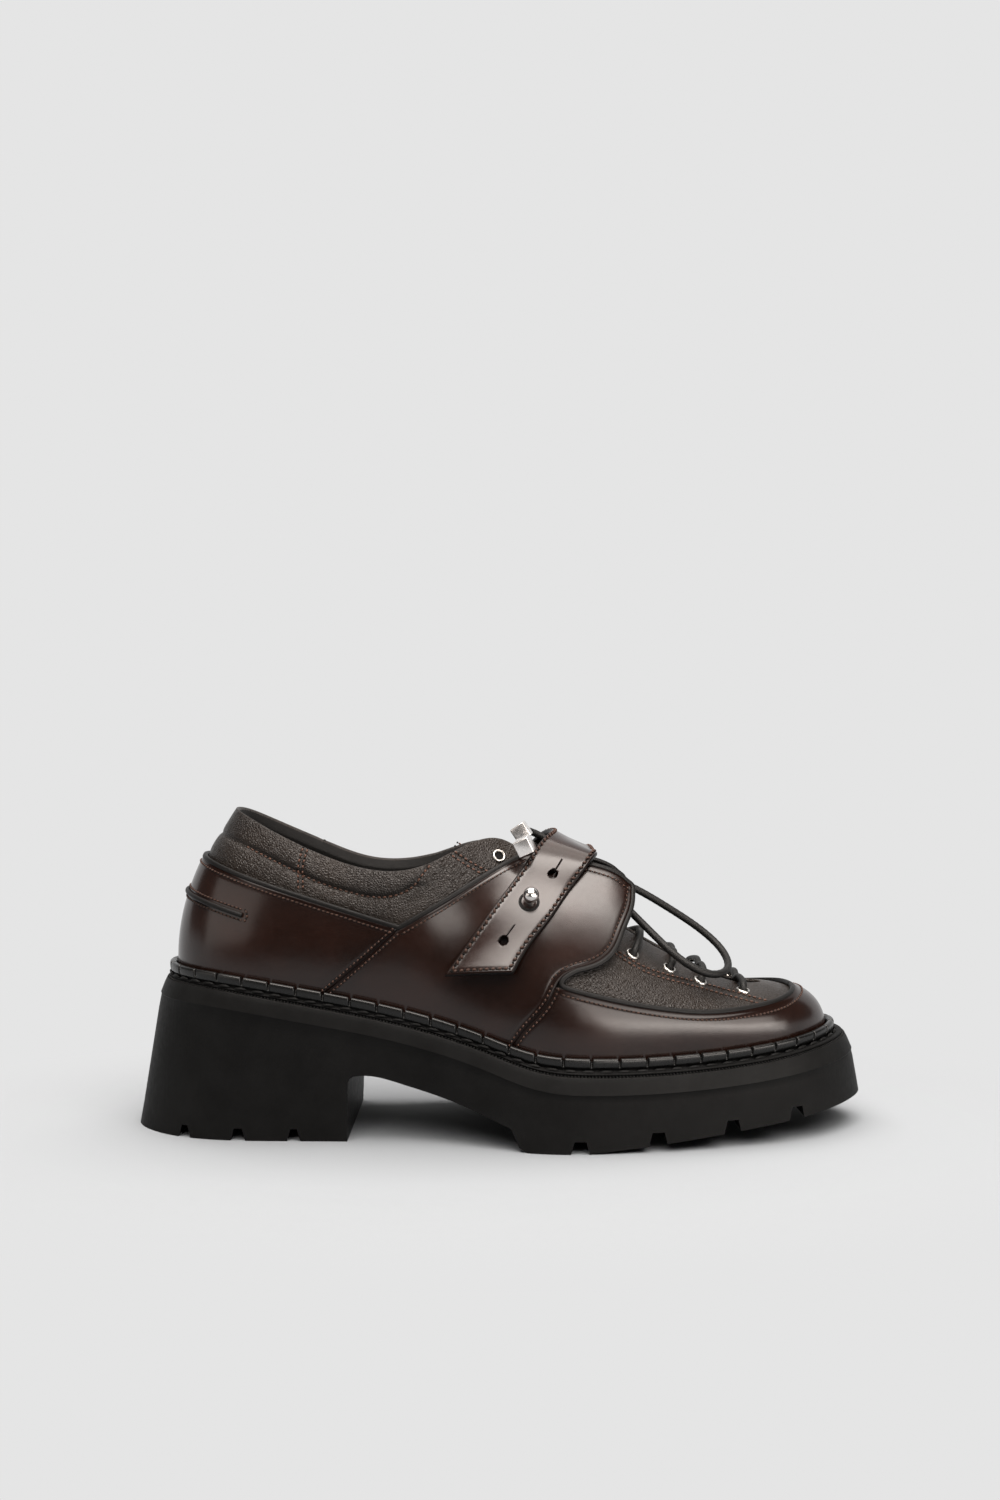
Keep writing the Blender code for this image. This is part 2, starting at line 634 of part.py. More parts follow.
def make_outsole(material):
    rings = sole_rings(ring_stations(STATIONS))
    sole = capped_solid("outsole", rings, material)
    profile = underside()
    count = len(profile)
    points = [(x, y, z) for y in (-CUT_FAR, CUT_FAR) for x, z in profile]
    faces = [tuple(range(count)), tuple(range(2 * count - 1, count - 1, -1))]
    faces += [(i, (i + 1) % count, count + (i + 1) % count, count + i) for i in range(count)]
    cut(sole, cutter("side_profile", points, faces), "INTERSECT")
    cut(sole, notch_cutter(), "DIFFERENCE")
    return sole


def make_welt(material):
    """Bead against the upper with a flange on the sole's ledge."""
    u = ring_stations(STATIONS)
    stand = PANEL_STAND + PANEL + 2 * GAP
    shoulder = WELT_HEIGHT * WELT_SHOULDER
    face = []
    for height in (GAP, shoulder, WELT_HEIGHT):
        t = height / (3 * column(u, "rise"))
        face.append(surface(u, t, stand))
    away = np.column_stack([outward(u), np.zeros(len(u))])
    foot_z = sole_top(column(u, "foot_x"))
    reach = column(u, "ledge") - WELT_INSET
    ledge = outline(u, "foot_x", "foot_y", reach)
    rim_z = sole_top(ledge[:, 0])
    bead = outline(u, "foot_x", "foot_y", stand + WELT_WIDTH + WELT_BULGE)
    crown = face[2] + away * WELT_WIDTH / 2
    crown[:, 2] = foot_z + WELT_HEIGHT + GAP
    rings = np.stack([
        np.column_stack([face[0][:, :2], foot_z + WELT_SEAT]),
        np.column_stack([face[1][:, :2], foot_z + shoulder]),
        crown,
        np.column_stack([bead, foot_z + WELT_HEIGHT * WELT_SIDE]),
        np.column_stack([bead, foot_z + WELT_FLANGE + GAP]),
        np.column_stack([ledge, rim_z + WELT_FLANGE]),
        np.column_stack([ledge, rim_z + WELT_SEAT]),
    ])
    return tube_solid("welt", rings, material)


def make_insole(material):
    u = ring_stations(STATIONS)
    plan = outline(u, "foot_x", "foot_y", np.full(len(u), -(WALL + 2 * GAP)))
    seat = sole_top(plan[:, 0]) + GAP
    rings = np.stack([np.column_stack([plan, seat]), np.column_stack([plan, seat + INSOLE_THICKNESS])])
    return capped_solid("insole", rings, material)


def wall_thickness(u, t):
    """Wall of the upper, padded towards the collar."""
    behind = smoothstep((COLLAR_PAD_FRONT_X - column(u, "top_x")) / COLLAR_PAD_BLEND)
    return WALL + COLLAR_PAD * behind * smoothstep((t - COLLAR_PAD_FROM) / COLLAR_PAD_OVER)


def make_upper(material):
    u = ring_stations(STATIONS)
    rows = np.linspace(0, 1, RIB_ROWS + 1)
    outer = [surface(u, np.full_like(u, t)) for t in rows]
    inner = [surface(u, np.full_like(u, t), -wall_thickness(u, t)) for t in rows]
    for ring in (inner[0], outer[0]):
        ring[:, 2] = sole_top(ring[:, 0]) + GAP
    return tube_solid("upper", np.stack(outer + inner[::-1]), material)


def throat_stations(start_x, end_x, count):
    """Lateral stations whose ribs end between two places along the throat."""
    us = np.linspace(0.3, 1.0, 600)
    return np.interp(np.linspace(start_x, end_x, count), column(us, "top_x"), us)


def make_tongue(material):
    """Leather strip under the throat, from the ears to the toe end."""
    us = throat_stations(TONGUE_START_X, TONGUE_END_X, 16)
    halves = []
    for side_us in (us, 2 - us):
        lines = []
        for t in TONGUE_ROWS:
            below = wall_thickness(side_us, t) + 3 * GAP
            lines.append(surface(side_us, np.full_like(us, t), -below))
        halves.append(lines)
    crest = (halves[0][2] + halves[1][2]) / 2
    crest[:, 2] += TONGUE_CROWN
    outer = np.stack(halves[0] + [crest] + halves[1][::-1], axis=1)
    inner = outer - np.array([TONGUE_LEAN, 0.0, 1.0]) * TONGUE_THICKNESS
    return slab_solid("tongue", outer, inner, material)


def patch(bottom, top, rear, front, rows):
    """Grid of (u, t) inside four edges; bottom and top run rear to front, rear and front run upward."""
    count = len(bottom)
    a = np.linspace(0, 1, count)[:, None, None]
    b = np.linspace(0, 1, rows)[None, :, None]
    sides = (1 - a) * rear[None, :, :] + a * front[None, :, :]
    ends = (1 - b) * bottom[:, None, :] + b * top[:, None, :]
    corners = (1 - a) * ((1 - b) * bottom[0] + b * top[0]) + a * ((1 - b) * bottom[-1] + b * top[-1])
    return sides + ends - corners


def panel_solid(name, grid, lifted, material):
    """Leather overlay on the upper's own surface."""
    u, t = grid[..., 0], grid[..., 1]
    outer = surface(u, t, PANEL_STAND + PANEL, lifted)
    inner = surface(u, t, PANEL_STAND, lifted)
    return slab_solid(name, outer, inner, material)


def height_line(rows):
    """Height over x of a line given by a few levels."""
    curve = Smooth([row.x for row in rows], [row.z for row in rows])

    def height(x):
        return curve(np.clip(x, rows[0].x, rows[-1].x))[..., 0]

    return height


def inset(rows, amount):
    """A line moved towards its right-hand side on the drawing."""
    points = np.asarray(rows, float)
    along = np.gradient(points, axis=0)
    normal = np.column_stack([along[:, 1], -along[:, 0]])
    return points + amount * normal / np.linalg.norm(normal, axis=1)[:, None]


def make_counter(material):
    """Heel panel between the two back seams, under the collar line."""
    count = 30
    rows = 5
    seam = {side: drawn(shifted(BACK_SEAM, -SEAM_HALF), side, rows) for side in (LATERAL, MEDIAL)}
    for line in seam.values():
        line[0, 1] = PANEL_FOOT
    height = height_line(COLLAR_LINE)
    lateral_u, medial_u = seam[LATERAL][-1, 0], seam[MEDIAL][-1, 0] - 2
    u_top = np.linspace(medial_u, lateral_u, count)
    t_top = level(u_top, lambda x: height(x) - PIPING_SPACE)
    u_foot = np.linspace(seam[MEDIAL][0, 0] - 2, seam[LATERAL][0, 0], count)
    bottom = np.column_stack([u_foot, np.full(count, PANEL_FOOT)])
    top = np.column_stack([u_top, t_top])
    rear = seam[MEDIAL] - np.array([2.0, 0.0])
    front = seam[LATERAL].copy()
    rear[-1], front[-1] = top[0], top[-1]
    rear[0], front[0] = bottom[0], bottom[-1]
    return panel_solid("counter", patch(bottom, top, rear, front, rows), False, material)


def shifted(rows, x):
    return [Level(row.x + x, row.z) for row in rows]


def make_quarter(name, side, material):
    """Middle panel of one side: its upper front part is the wing that stands off the vamp."""
    count = 17
    rows = 13
    top_line = np.vstack([
        inset(through(QUARTER_REAR, 12), PIPING_SPACE)[:-1],
        inset(through(WING_TOP, 10), PIPING_SPACE)[1:],
    ])
    front_line = np.vstack([
        through(shifted(FRONT_SEAM, -SEAM_HALF), 6)[:-1],
        inset(through(WING_FRONT, 16), PIPING_SPACE)[::-1][1:],
    ])
    front_line[-1] = top_line[-1]
    top = drawn(top_line, side, count, True)
    front = drawn(front_line, side, rows, True)
    rear = drawn(shifted(BACK_SEAM, SEAM_HALF), side, rows, True)
    rear[0, 1] = front[0, 1] = PANEL_FOOT
    rear[-1], front[-1] = top[0], top[-1]
    bottom = np.column_stack([
        np.linspace(rear[0, 0], front[0, 0], count), np.full(count, PANEL_FOOT),
    ])
    return panel_solid(name, patch(bottom, top, rear, front, rows), True, material)


def make_mudguard(material):
    """Toe panel between the two front seams, under the apron's piping."""
    count = 33
    rows = 6
    seam = {side: drawn(shifted(FRONT_SEAM, SEAM_HALF), side, rows) for side in (LATERAL, MEDIAL)}
    for line in seam.values():
        line[0, 1] = PANEL_FOOT
    lateral_height = height_line(APRON_LATERAL)
    medial_height = height_line(APRON_MEDIAL)
    u_top = np.linspace(seam[LATERAL][-1, 0], seam[MEDIAL][-1, 0], count)
    lateral_t = level(u_top, lambda x: lateral_height(x) - PIPING_SPACE)
    medial_t = level(u_top, lambda x: medial_height(x) - PIPING_SPACE)
    t_top = np.where(u_top < 1, lateral_t, medial_t)
    u_foot = np.linspace(seam[LATERAL][0, 0], seam[MEDIAL][0, 0], count)
    bottom = np.column_stack([u_foot, np.full(count, PANEL_FOOT)])
    top = np.column_stack([u_top, t_top])
    rear, front = seam[LATERAL].copy(), seam[MEDIAL].copy()
    rear[-1], front[-1] = top[0], top[-1]
    return panel_solid("mudguard", patch(bottom, top, rear, front, rows), False, material)


def piping_points(path, lifted):
    return surface(path[:, 0], path[:, 1], PANEL_STAND + PIPING_RADIUS, lifted)


def make_piping_collar(material):
    """Piped upper edge of the counter and of both quarters, up to the strap."""
    lateral = drawn(QUARTER_REAR, LATERAL, 11, True)
    medial = drawn(QUARTER_REAR, MEDIAL, 11, True)
    u = np.linspace(medial[0, 0] - 2, lateral[0, 0], 32)[1:-1]
    heel = np.column_stack([u, level(u, height_line(COLLAR_LINE))])
    path = np.vstack([medial[::-1], heel, lateral])
    return cord_object("piping_collar", piping_points(path, True), PIPING_RADIUS, 1, material)


def make_piping_apron(material):
    """Piped edge of both wings and of the mudguard round the apron."""
    ends = {}
    for side in (LATERAL, MEDIAL):
        line = np.vstack([through(WING_TOP[1:], 6)[:-1], through(WING_FRONT, 14)])
        ends[side] = drawn(line, side, 16, True)
    u = np.linspace(ends[LATERAL][-1, 0], ends[MEDIAL][-1, 0], 32)[1:-1]
    lateral_t = level(u, height_line(APRON_LATERAL))
    medial_t = level(u, height_line(APRON_MEDIAL))
    apron = np.column_stack([u, np.where(u < 1, lateral_t, medial_t)])
    points = np.vstack([
        piping_points(ends[LATERAL], True), piping_points(apron, False),
        piping_points(ends[MEDIAL][::-1], True),
    ])
    return cord_object("piping_apron", points, PIPING_RADIUS, 1, material)


def make_heel_loop(material):
    """Bound slit round the heel, on the counter."""
    lateral = drawn(HEEL_LOOP[1:], LATERAL, 6)
    medial = drawn(HEEL_LOOP[1:], MEDIAL, 6)
    u = np.linspace(medial[0, 0] - 2, lateral[0, 0], 10)[1:-1]
    heel = np.column_stack([u, level(u, height_line(HEEL_LOOP))])
    path = np.vstack([medial[::-1] - np.array([[2.0, 0.0]]), heel, lateral])
    points = surface(path[:, 0], path[:, 1], PANEL_STAND + PANEL + 2 * GAP + PIPING_RADIUS)
    return cord_object("heel_loop", points, PIPING_RADIUS, 1, material)


def strap_column(share, count):
    """Inner face of the strap along its length; share is 0 at its rear edge and 1 at its front edge."""
    rows = np.array(STRAP_ROWS + (STRAP_CREST,), float)
    rows = rows[:, :2] * (1 - share) + rows[:, 2:] * share
    shoulder_x = STRAP_SHOULDER_X[0] * (1 - share) + STRAP_SHOULDER_X[1] * share
    shoulder = (shoulder_x, float(height_line(WING_TOP)(shoulder_x)))
    sides = {}
    for side in (LATERAL, MEDIAL):
        uv = spots(np.vstack([rows[:-1], shoulder]), side, True)
        stand = np.full(len(uv), STRAP_STAND)
        if side == LATERAL:
            stand[:-1] += STRAP_SPRING
        stand[-1] = SHOULDER_STAND
        sides[side] = surface(uv[:, 0], uv[:, 1], stand, True)
    crest = np.array([[rows[-1, 0], 0.0, rows[-1, 1] - STRAP_THICKNESS]])
    return through(np.vstack([sides[LATERAL], crest, sides[MEDIAL][::-1]]), count)


def strap_grid(count, columns):
    """Inner face of the strap and its outward directions."""
    inner = np.stack([strap_column(share, count) for share in np.linspace(0, 1, columns)], axis=1)
    along = np.gradient(inner, axis=0)
    side = np.gradient(inner, axis=1)
    normal = np.cross(side, along)
    normal /= np.linalg.norm(normal, axis=-1, keepdims=True)
    normal *= np.sign(normal[count // 2, 0, 2])
    return inner, normal


def strap_spot(place):
    """Point on the strap's outer face and its direction, at an x and z on the lateral side."""
    inner, normal = strap_grid(61, 7)
    half = slice(0, 30)
    away = np.linalg.norm(inner[half][..., [0, 2]] - np.array(place), axis=-1)
    i, j = np.unravel_index(np.argmin(away), away.shape)
    return inner[i, j] + normal[i, j] * STRAP_THICKNESS, normal[i, j]


def make_strap(material):
    inner, normal = strap_grid(25, 4)
    strap = slab_solid("strap", inner + normal * STRAP_THICKNESS, inner, material)
    for number, place in enumerate(KEYHOLES):
        centre, axis = strap_spot(place)
        turns = [k * math.tau / TURN_STEPS for k in range(TURN_STEPS)]
        frame = Vector((0, 0, 1)).rotation_difference(Vector(axis)).to_matrix()
        points = []
        for height in (-KEYHOLE_CUT, KEYHOLE_CUT):
            for turn in turns:
                spoke = Vector((math.cos(turn) * KEYHOLE_RADIUS, math.sin(turn) * KEYHOLE_RADIUS, height))
                points.append(centre + np.array(frame @ spoke))
        faces = [tuple(range(TURN_STEPS)), tuple(range(TURN_STEPS, 2 * TURN_STEPS))]
        for k in range(TURN_STEPS):
            after = (k + 1) % TURN_STEPS
            faces.append((k, after, TURN_STEPS + after, TURN_STEPS + k))
        cut(strap, cutter(f"keyhole_{number + 1}", points, faces), "DIFFERENCE")
    return strap


def make_stud(material):
    """Ball stud on a collar, just clear of the strap."""
    place, axis = strap_spot(STUD_PLACE)
    centre = STUD_NECK_TOP + STUD_BALL * STUD_BALL_LIFT
    turns = np.linspace(STUD_BALL_START, math.pi / 2, BALL_STEPS)
    ball = [(STUD_BALL * math.cos(turn), centre + STUD_BALL * math.sin(turn)) for turn in turns]
    profile = list(STUD_FOOT) + ball
    return turned_object("stud", profile, place, axis, material)


def eyelet_sites():
    """Each eyelet's place and direction on the upper, lateral first."""
    sites = {}
    for side, word in ((LATERAL, "lateral"), (MEDIAL, "medial")):
        uv = spots(list(EYELET_PLACES) + [EAR_EYELET], side)
        for number, (u, t) in enumerate(uv):
            name = f"{word}_{number + 1}" if number < len(EYELET_PLACES) else f"{word}_ear"
            sites[name] = (surface(u, t, EYELET_SEAT), surface_normal(u, t))
    return sites


def make_eyelets(material):
    profile = [
        (EYELET_HOLE, 0.0), (EYELET_RIM, 0.0), (EYELET_RIM * EYELET_SHOULDER, EYELET_HEIGHT * EYELET_SIDE),
        (EYELET_HOLE * EYELET_MOUTH, EYELET_HEIGHT),
    ]
    for name, (place, axis) in eyelet_sites().items():
        turned_object(f"eyelet_{name}", profile, place, axis, material)


def make_lace_bars(material):
    """Straight bars of lace across the throat, from beside one eyelet to beside the other."""
    stand = LACE_RADIUS + 2 * GAP
    clear = EYELET_RIM + LACE_RADIUS + GAP
    for number, place in enumerate(EYELET_PLACES):
        halves = []
        for side in (LATERAL, MEDIAL):
            u, t = spots([place], side)[0]
            length = np.linalg.norm(rib_point(u, 1.0, False) - rib_point(u, t, False))
            start = t + (1 - t) * clear / length
            run = np.array([start, (start + 1) / 2, 1.0])
            halves.append(surface(np.linspace(u, u - side * LACE_LEAN, 3), run, np.full(3, stand)))
        middle = (halves[0][-1] + halves[1][-1]) / 2 + np.array([0.0, 0.0, LACE_CROWN])
        route = np.vstack([halves[0], middle, halves[1][::-1]])
        cord_object(f"lace_bar_{number + 1}", through(route, 11), LACE_RADIUS, 1, material)


def make_cord(material):
    points = through(CORD_ROUTE, CORD_POINTS)
    return cord_object("cord_loop", points, CORD_RADIUS, 2, material)


def make_cord_ends(material):
    """Metal cubes on the two ends of the elastic cord."""
    points = through(CORD_ROUTE, CORD_POINTS)
    for name, end, beside in (("cord_end_near", 0, 1), ("cord_end_far", -1, -2)):
        tip = points[end]
        away = tip - points[beside]
        away /= np.linalg.norm(away)
        work = bmesh.new()
        bmesh.ops.create_cube(work, size=CORD_END_SIZE * MM)
        bmesh.ops.bevel(
            work, geom=work.edges[:], offset=CORD_END_BEVEL * MM, segments=1, affect="EDGES", profile=0.5,
        )
        mesh = bpy.data.meshes.new(name)
        work.to_mesh(mesh)
        work.free()
        item = add_object(name, mesh, material)
        turn = Vector((1, 0, 0)).rotation_difference(Vector(away)).to_matrix().to_4x4()
        turn = turn @ Matrix.Rotation(CORD_END_ROLL, 4, "X")
        centre = tip + away * (CORD_END_SIZE / 2 + GAP)
        item.matrix_world = Matrix.Translation(Vector(metres(centre))) @ turn


def main():
    clear_scene()
    rubber = make_material("rubber", (0.02, 0.02, 0.02), 0.6)
    black = make_material("black_leather", (0.025, 0.022, 0.021), 0.45)
    brown = make_material("brown_leather", (0.05, 0.018, 0.012), 0.25)
    lining = make_material("lining", (0.03, 0.027, 0.026), 0.7)
    elastic = make_material("elastic", (0.02, 0.02, 0.02), 0.6)
    metal = make_material("metal", (0.8, 0.8, 0.8), 0.12, 1.0)
    make_outsole(rubber)
    make_welt(rubber)
    make_insole(lining)
    make_upper(black)
    make_tongue(black)
    make_counter(brown)
    make_quarter("quarter_lateral", LATERAL, brown)
    make_quarter("quarter_medial", MEDIAL, brown)
    make_mudguard(brown)
    make_piping_collar(black)
    make_piping_apron(black)
    make_heel_loop(black)
    make_strap(brown)
    make_stud(metal)
    make_eyelets(metal)
    make_lace_bars(elastic)
    make_cord(elastic)
    make_cord_ends(metal)


if __name__ == "__main__":
    main()
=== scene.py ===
"""Creeper shoe, dressed: leather panels, piping, stitches, lace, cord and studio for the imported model.

Tables and functions are the part's own, in millimetres on the last's axes; meshes are made in metres.
"""

import math
from collections import namedtuple

import bmesh
import bpy
import numpy as np
from mathutils import Matrix, Vector


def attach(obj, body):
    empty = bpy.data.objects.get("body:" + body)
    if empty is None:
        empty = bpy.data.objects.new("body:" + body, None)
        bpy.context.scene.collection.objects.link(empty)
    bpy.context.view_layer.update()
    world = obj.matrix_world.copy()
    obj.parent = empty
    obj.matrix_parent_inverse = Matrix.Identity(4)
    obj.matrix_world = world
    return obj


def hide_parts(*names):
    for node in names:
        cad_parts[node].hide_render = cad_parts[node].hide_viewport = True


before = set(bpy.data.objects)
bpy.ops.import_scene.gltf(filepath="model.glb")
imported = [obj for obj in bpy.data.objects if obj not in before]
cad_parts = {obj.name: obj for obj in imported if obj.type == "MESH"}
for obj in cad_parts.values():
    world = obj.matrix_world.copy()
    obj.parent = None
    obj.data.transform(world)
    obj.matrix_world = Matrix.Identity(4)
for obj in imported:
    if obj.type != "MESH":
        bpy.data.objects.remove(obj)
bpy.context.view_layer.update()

MM = 0.001

# Clearances and leather thicknesses
GAP = 0.3
PANEL_STAND = 0.7
WALL = 2.4
COLLAR_PAD = 2.6
COLLAR_PAD_FRONT_X = 8.0
COLLAR_PAD_BLEND = 20.0
COLLAR_PAD_FROM = 0.55
COLLAR_PAD_OVER = 0.3
PANEL = 1.3
PANEL_FOOT = 0.012
STRAP_THICKNESS = 2.2
TONGUE_THICKNESS = 2.0
TONGUE_CROWN = 1.0
TONGUE_LEAN = 0.3
TONGUE_START_X = 4.0
TONGUE_REACH = 106.0
TONGUE_SHARES = (0.80, 0.985)
TONGUE_BULGE = 0.5
INSOLE_THICKNESS = 3.5
INSOLE_ROUND = (1.2, 1.0)
PIPING_RADIUS = 0.85
STRAP_STAND = PANEL_STAND + PANEL + 2 * GAP
SHOULDER_STAND = PANEL_STAND + 2 * PIPING_RADIUS + 4 * GAP

# Sole
BEVEL_DROP = 6.0
BEVEL_OUT = 1.2
HEEL_BREAST_X = -57.0
ARCH_HIGH = 25.5
ARCH_SHARES = (0.3, 0.55, 0.8, 1.0)
ARCH_POWER = 1.45
TREAD_START_X = 4.0
TREAD_STEP = 8.4
TREAD_FLAT_X = 30.0
TOE_SPRING = 11.5
TOE_SPRING_POWER = 1.05
TOE_TIP_X = 139.0
NOTCH_DEPTH = 4.6
NOTCH_REACH = 17.0
BELOW_FLOOR = 1.0
CUT_FAR = 160.0

# How far the welt's flange stays back from the sole's edge
WELT_INSET = 1.2

# Strap, stud, eyelets and cords
STUD_BALL = 3.0
STUD_NECK_TOP = 2.2
STUD_BALL_LIFT = 0.8
STUD_BALL_START = math.radians(-50)
KEYHOLE_RADIUS = 1.9
KEYHOLE_CUT = 4.0
EYELET_HOLE = 1.6
EYELET_RIM = 2.7
EYELET_HEIGHT = 0.8
LACE_RADIUS = 1.35
LACE_LEAN = 0.015
CORD_RADIUS = 1.4
CORD_END_SIZE = 6.2
CORD_END_ROLL = math.radians(38)

# Meshes
END_CROWDING = 0.4
SHARP_ANGLE = math.radians(40)

LATERAL = -1
MEDIAL = 1
SIDES = (LATERAL, MEDIAL)

Section = namedtuple(
    "Section",
    "name foot_x foot_y ledge tread_x tread_y top_x top_y top_z bulge rise reach pitch",
)

# Ribs round the last, from the heel along the lateral side to the toe and back along the medial side.
# foot: where the rib meets the sole. ledge: how far the sole's top edge stands out from it.
# tread: the outline at the floor. top: the rib's end at the collar or at the throat.
# bulge and rise place the rib's lower handle, reach and pitch (degrees) its upper one.
SECTIONS = tuple(Section(*row) for row in (
    ("heel back", -124.5, 0.0, 6.6, -142.0, 0.0, -103.5, 0.0, 124.0, 2.5, 26, 24, 57),
    ("heel corner", -118.3, -15.6, 6.6, -132.5, -17.5, -100.0, -11.5, 122.5, 2.5, 26, 22, 62),
    ("heel side", -105.0, -25.0, 6.6, -115.0, -27.4, -89.0, -20.0, 117.0, 2.8, 26, 20, 70),
    ("counter", -82.0, -28.8, 6.6, -87.0, -31.2, -70.0, -26.0, 108.3, 3.0, 24, 18, 76),
    ("heel breast", -56.0, -29.5, 6.4, -57.0, -31.8, -50.0, -28.5, 102.0, 3.4, 22, 17, 80),
    ("waist", -28.0, -31.0, 6.4, -28.0, -34.8, -26.0, -28.5, 104.3, 3.2, 24, 20, 76),
    ("waist front", -3.0, -35.0, 7.0, -3.0, -43.0, -1.5, -16.0, 112.6, 3.4, 26, 26, 54),
    ("ball rear", 18.0, -39.3, 7.8, 18.0, -48.3, 18.0, -11.0, 98.8, 3.5, 30, 30, 32),
    ("ball", 42.0, -39.7, 7.9, 42.0, -48.0, 44.0, -9.5, 79.2, 4.0, 28, 30, 25),
    ("joint", 65.0, -36.0, 8.1, 67.0, -44.5, 68.0, -8.0, 65.2, 4.5, 26, 27, 20),
    ("vamp", 88.5, -29.8, 8.4, 93.0, -38.0, 87.0, -6.5, 56.6, 4.0, 22, 22, 16),
    ("toe side", 107.5, -21.6, 8.8, 116.5, -29.0, 97.5, -4.5, 54.6, 3.0, 20, 16, 11),
    ("toe corner", 120.6, -10.6, 9.4, 134.0, -15.5, 101.5, -2.4, 54.4, 1.5, 18, 14, 8),
    ("toe tip", 127.4, 4.2, 9.6, 145.0, 4.2, 103.0, 0.5, 54.2, 1.0, 15.5, 13, 6),
    ("toe corner in", 121.2, 18.4, 9.2, 135.5, 23.5, 101.5, 3.2, 54.4, 1.5, 18, 14, 8),
    ("toe side in", 109.0, 28.6, 8.8, 118.0, 35.5, 97.5, 5.2, 54.6, 3.0, 20, 16, 11),
    ("vamp in", 91.0, 33.8, 8.2, 95.0, 41.5, 87.0, 7.0, 56.6, 4.0, 22, 22, 16),
    ("joint in", 67.0, 37.2, 7.8, 68.0, 45.0, 68.0, 8.5, 65.2, 4.5, 26, 27, 20),
    ("ball in", 43.0, 36.4, 7.6, 44.0, 44.2, 44.0, 10.0, 79.2, 4.0, 28, 30, 25),
    ("ball rear in", 18.0, 31.4, 7.4, 18.0, 39.5, 18.0, 11.0, 98.8, 3.5, 30, 28, 34),
    ("waist front in", -5.0, 26.6, 7.0, -5.0, 33.5, -4.0, 17.0, 109.8, 3.5, 26, 24, 58),
    ("waist in", -30.0, 25.2, 6.6, -30.0, 30.0, -26.0, 25.0, 104.3, 4.5, 24, 20, 78),
    ("heel breast in", -57.0, 26.0, 6.4, -57.0, 28.5, -50.0, 25.5, 102.0, 5.0, 22, 17, 82),
    ("counter in", -83.0, 26.8, 6.6, -88.0, 28.8, -70.0, 24.0, 108.3, 4.5, 24, 18, 76),
    ("heel side in", -105.5, 24.2, 6.8, -115.5, 26.4, -89.0, 19.0, 117.0, 4.0, 26, 20, 70),
    ("heel corner in", -118.3, 15.2, 6.6, -132.5, 17.2, -100.0, 11.5, 122.5, 3.5, 26, 22, 62),
))
TOE_ROW = [row.name for row in SECTIONS].index("toe tip")

Level = namedtuple("Level", "x z")


def levels(*rows):
    return tuple(Level(*row) for row in rows)


# Top face of the sole along the shoe
SOLE_TOP = levels(
    (-133, 57.6), (-108, 56.6), (-80, 52.4), (-50, 46.8), (-25, 41.0), (-4, 34.6), (12, 29.4), (34, 27.4),
    (70, 28.0), (105, 30.6), (137, 34.6),
)

# Upper edge of the counter, from the heel to the lowest point of the collar line
COLLAR_LINE = levels((-117, 105.0), (-96, 97.7), (-75, 91.2), (-56, 85.4), (-37.5, 80.0))

# Edge between mudguard and apron, lateral and medial
APRON_LATERAL = levels(
    (20.6, 59.2), (29.4, 56.8), (44.0, 53.2), (58.6, 50.4), (74.0, 48.4), (90.0, 48.1), (103.0, 49.1),
    (111.0, 50.6), (118.0, 52.9),
)
APRON_MEDIAL = levels(
    (20.6, 59.6), (44.0, 53.6), (74.0, 49.2), (92.0, 48.6), (104.0, 49.6), (111.0, 50.9), (118.0, 52.9),
)

# Lines drawn on the side of the upper, seen square on
BACK_SEAM = levels((-70.0, 51.6), (-52.0, 66.8), (-38.2, 79.0))
FRONT_SEAM = levels((3.0, 33.0), (8.0, 41.5), (18.5, 54.5), (20.6, 59.2))
QUARTER_REAR = levels((-37.5, 80.0), (-18.0, 91.2), (1.0, 101.8), (11.6, 106.2))
WING_TOP = levels((11.6, 106.2), (22.0, 105.0), (33.0, 101.8), (45.6, 97.2), (50.2, 93.0))
WING_FRONT = levels(
    (50.2, 93.0), (49.6, 87.0), (45.8, 78.5), (41.2, 70.0), (33.0, 65.4), (24.5, 62.8), (20.6, 59.2),
)
HEEL_LOOP = levels((-123.0, 91.2), (-110.0, 87.6), (-96.0, 83.8))

# Fillet between heel breast and arch, from the breast forward and from the arch's top down
Fillet = namedtuple("Fillet", "forward down")
BREAST_FILLET = (Fillet(0.5, 3.0), Fillet(1.5, 1.2), Fillet(4.0, 0.4))

# Rounded rear edge of the forefoot tread: forward of its start, height as a share of the step
TreadEdge = namedtuple("TreadEdge", "forward share")
TREAD_EDGE = (TreadEdge(1.5, 0.6), TreadEdge(3.0, 0.2), TreadEdge(6.0, 0.0))

# Grooves across the edge of the tread: where, and how wide at the floor and at the groove's top
Notch = namedtuple("Notch", "x low high")
NOTCHES = (
    Notch(-119.0, 4.8, 2.2), Notch(-98.0, 5.6, 3.0), Notch(-77.0, 5.0, 2.4), Notch(29.0, 6.8, 4.2),
    Notch(57.5, 6.8, 4.4), Notch(85.5, 6.4, 4.2), Notch(111.0, 6.0, 4.0),
)

# The wing of each quarter lifts off the vamp between these stations
WING_LIFT = 19.0
WING_LIFT_START_X = -4.0
WING_LIFT_END_X = 46.0
WING_LIFT_FROM = 0.40
WING_LIFT_POWER = 1.7
WING_LIFT_OUT = 0.4

# Strap edges on the side of the shoe, from the free end to the crest
StrapRow = namedtuple("StrapRow", "rear_x rear_z front_x front_z")
STRAP_ROWS = (
    StrapRow(-19.6, 62.8, 6.0, 63.0), StrapRow(-11.0, 74.5, 11.0, 72.6), StrapRow(-1.5, 87.0, 18.6, 82.2),
    StrapRow(7.2, 98.2, 26.4, 92.4),
)
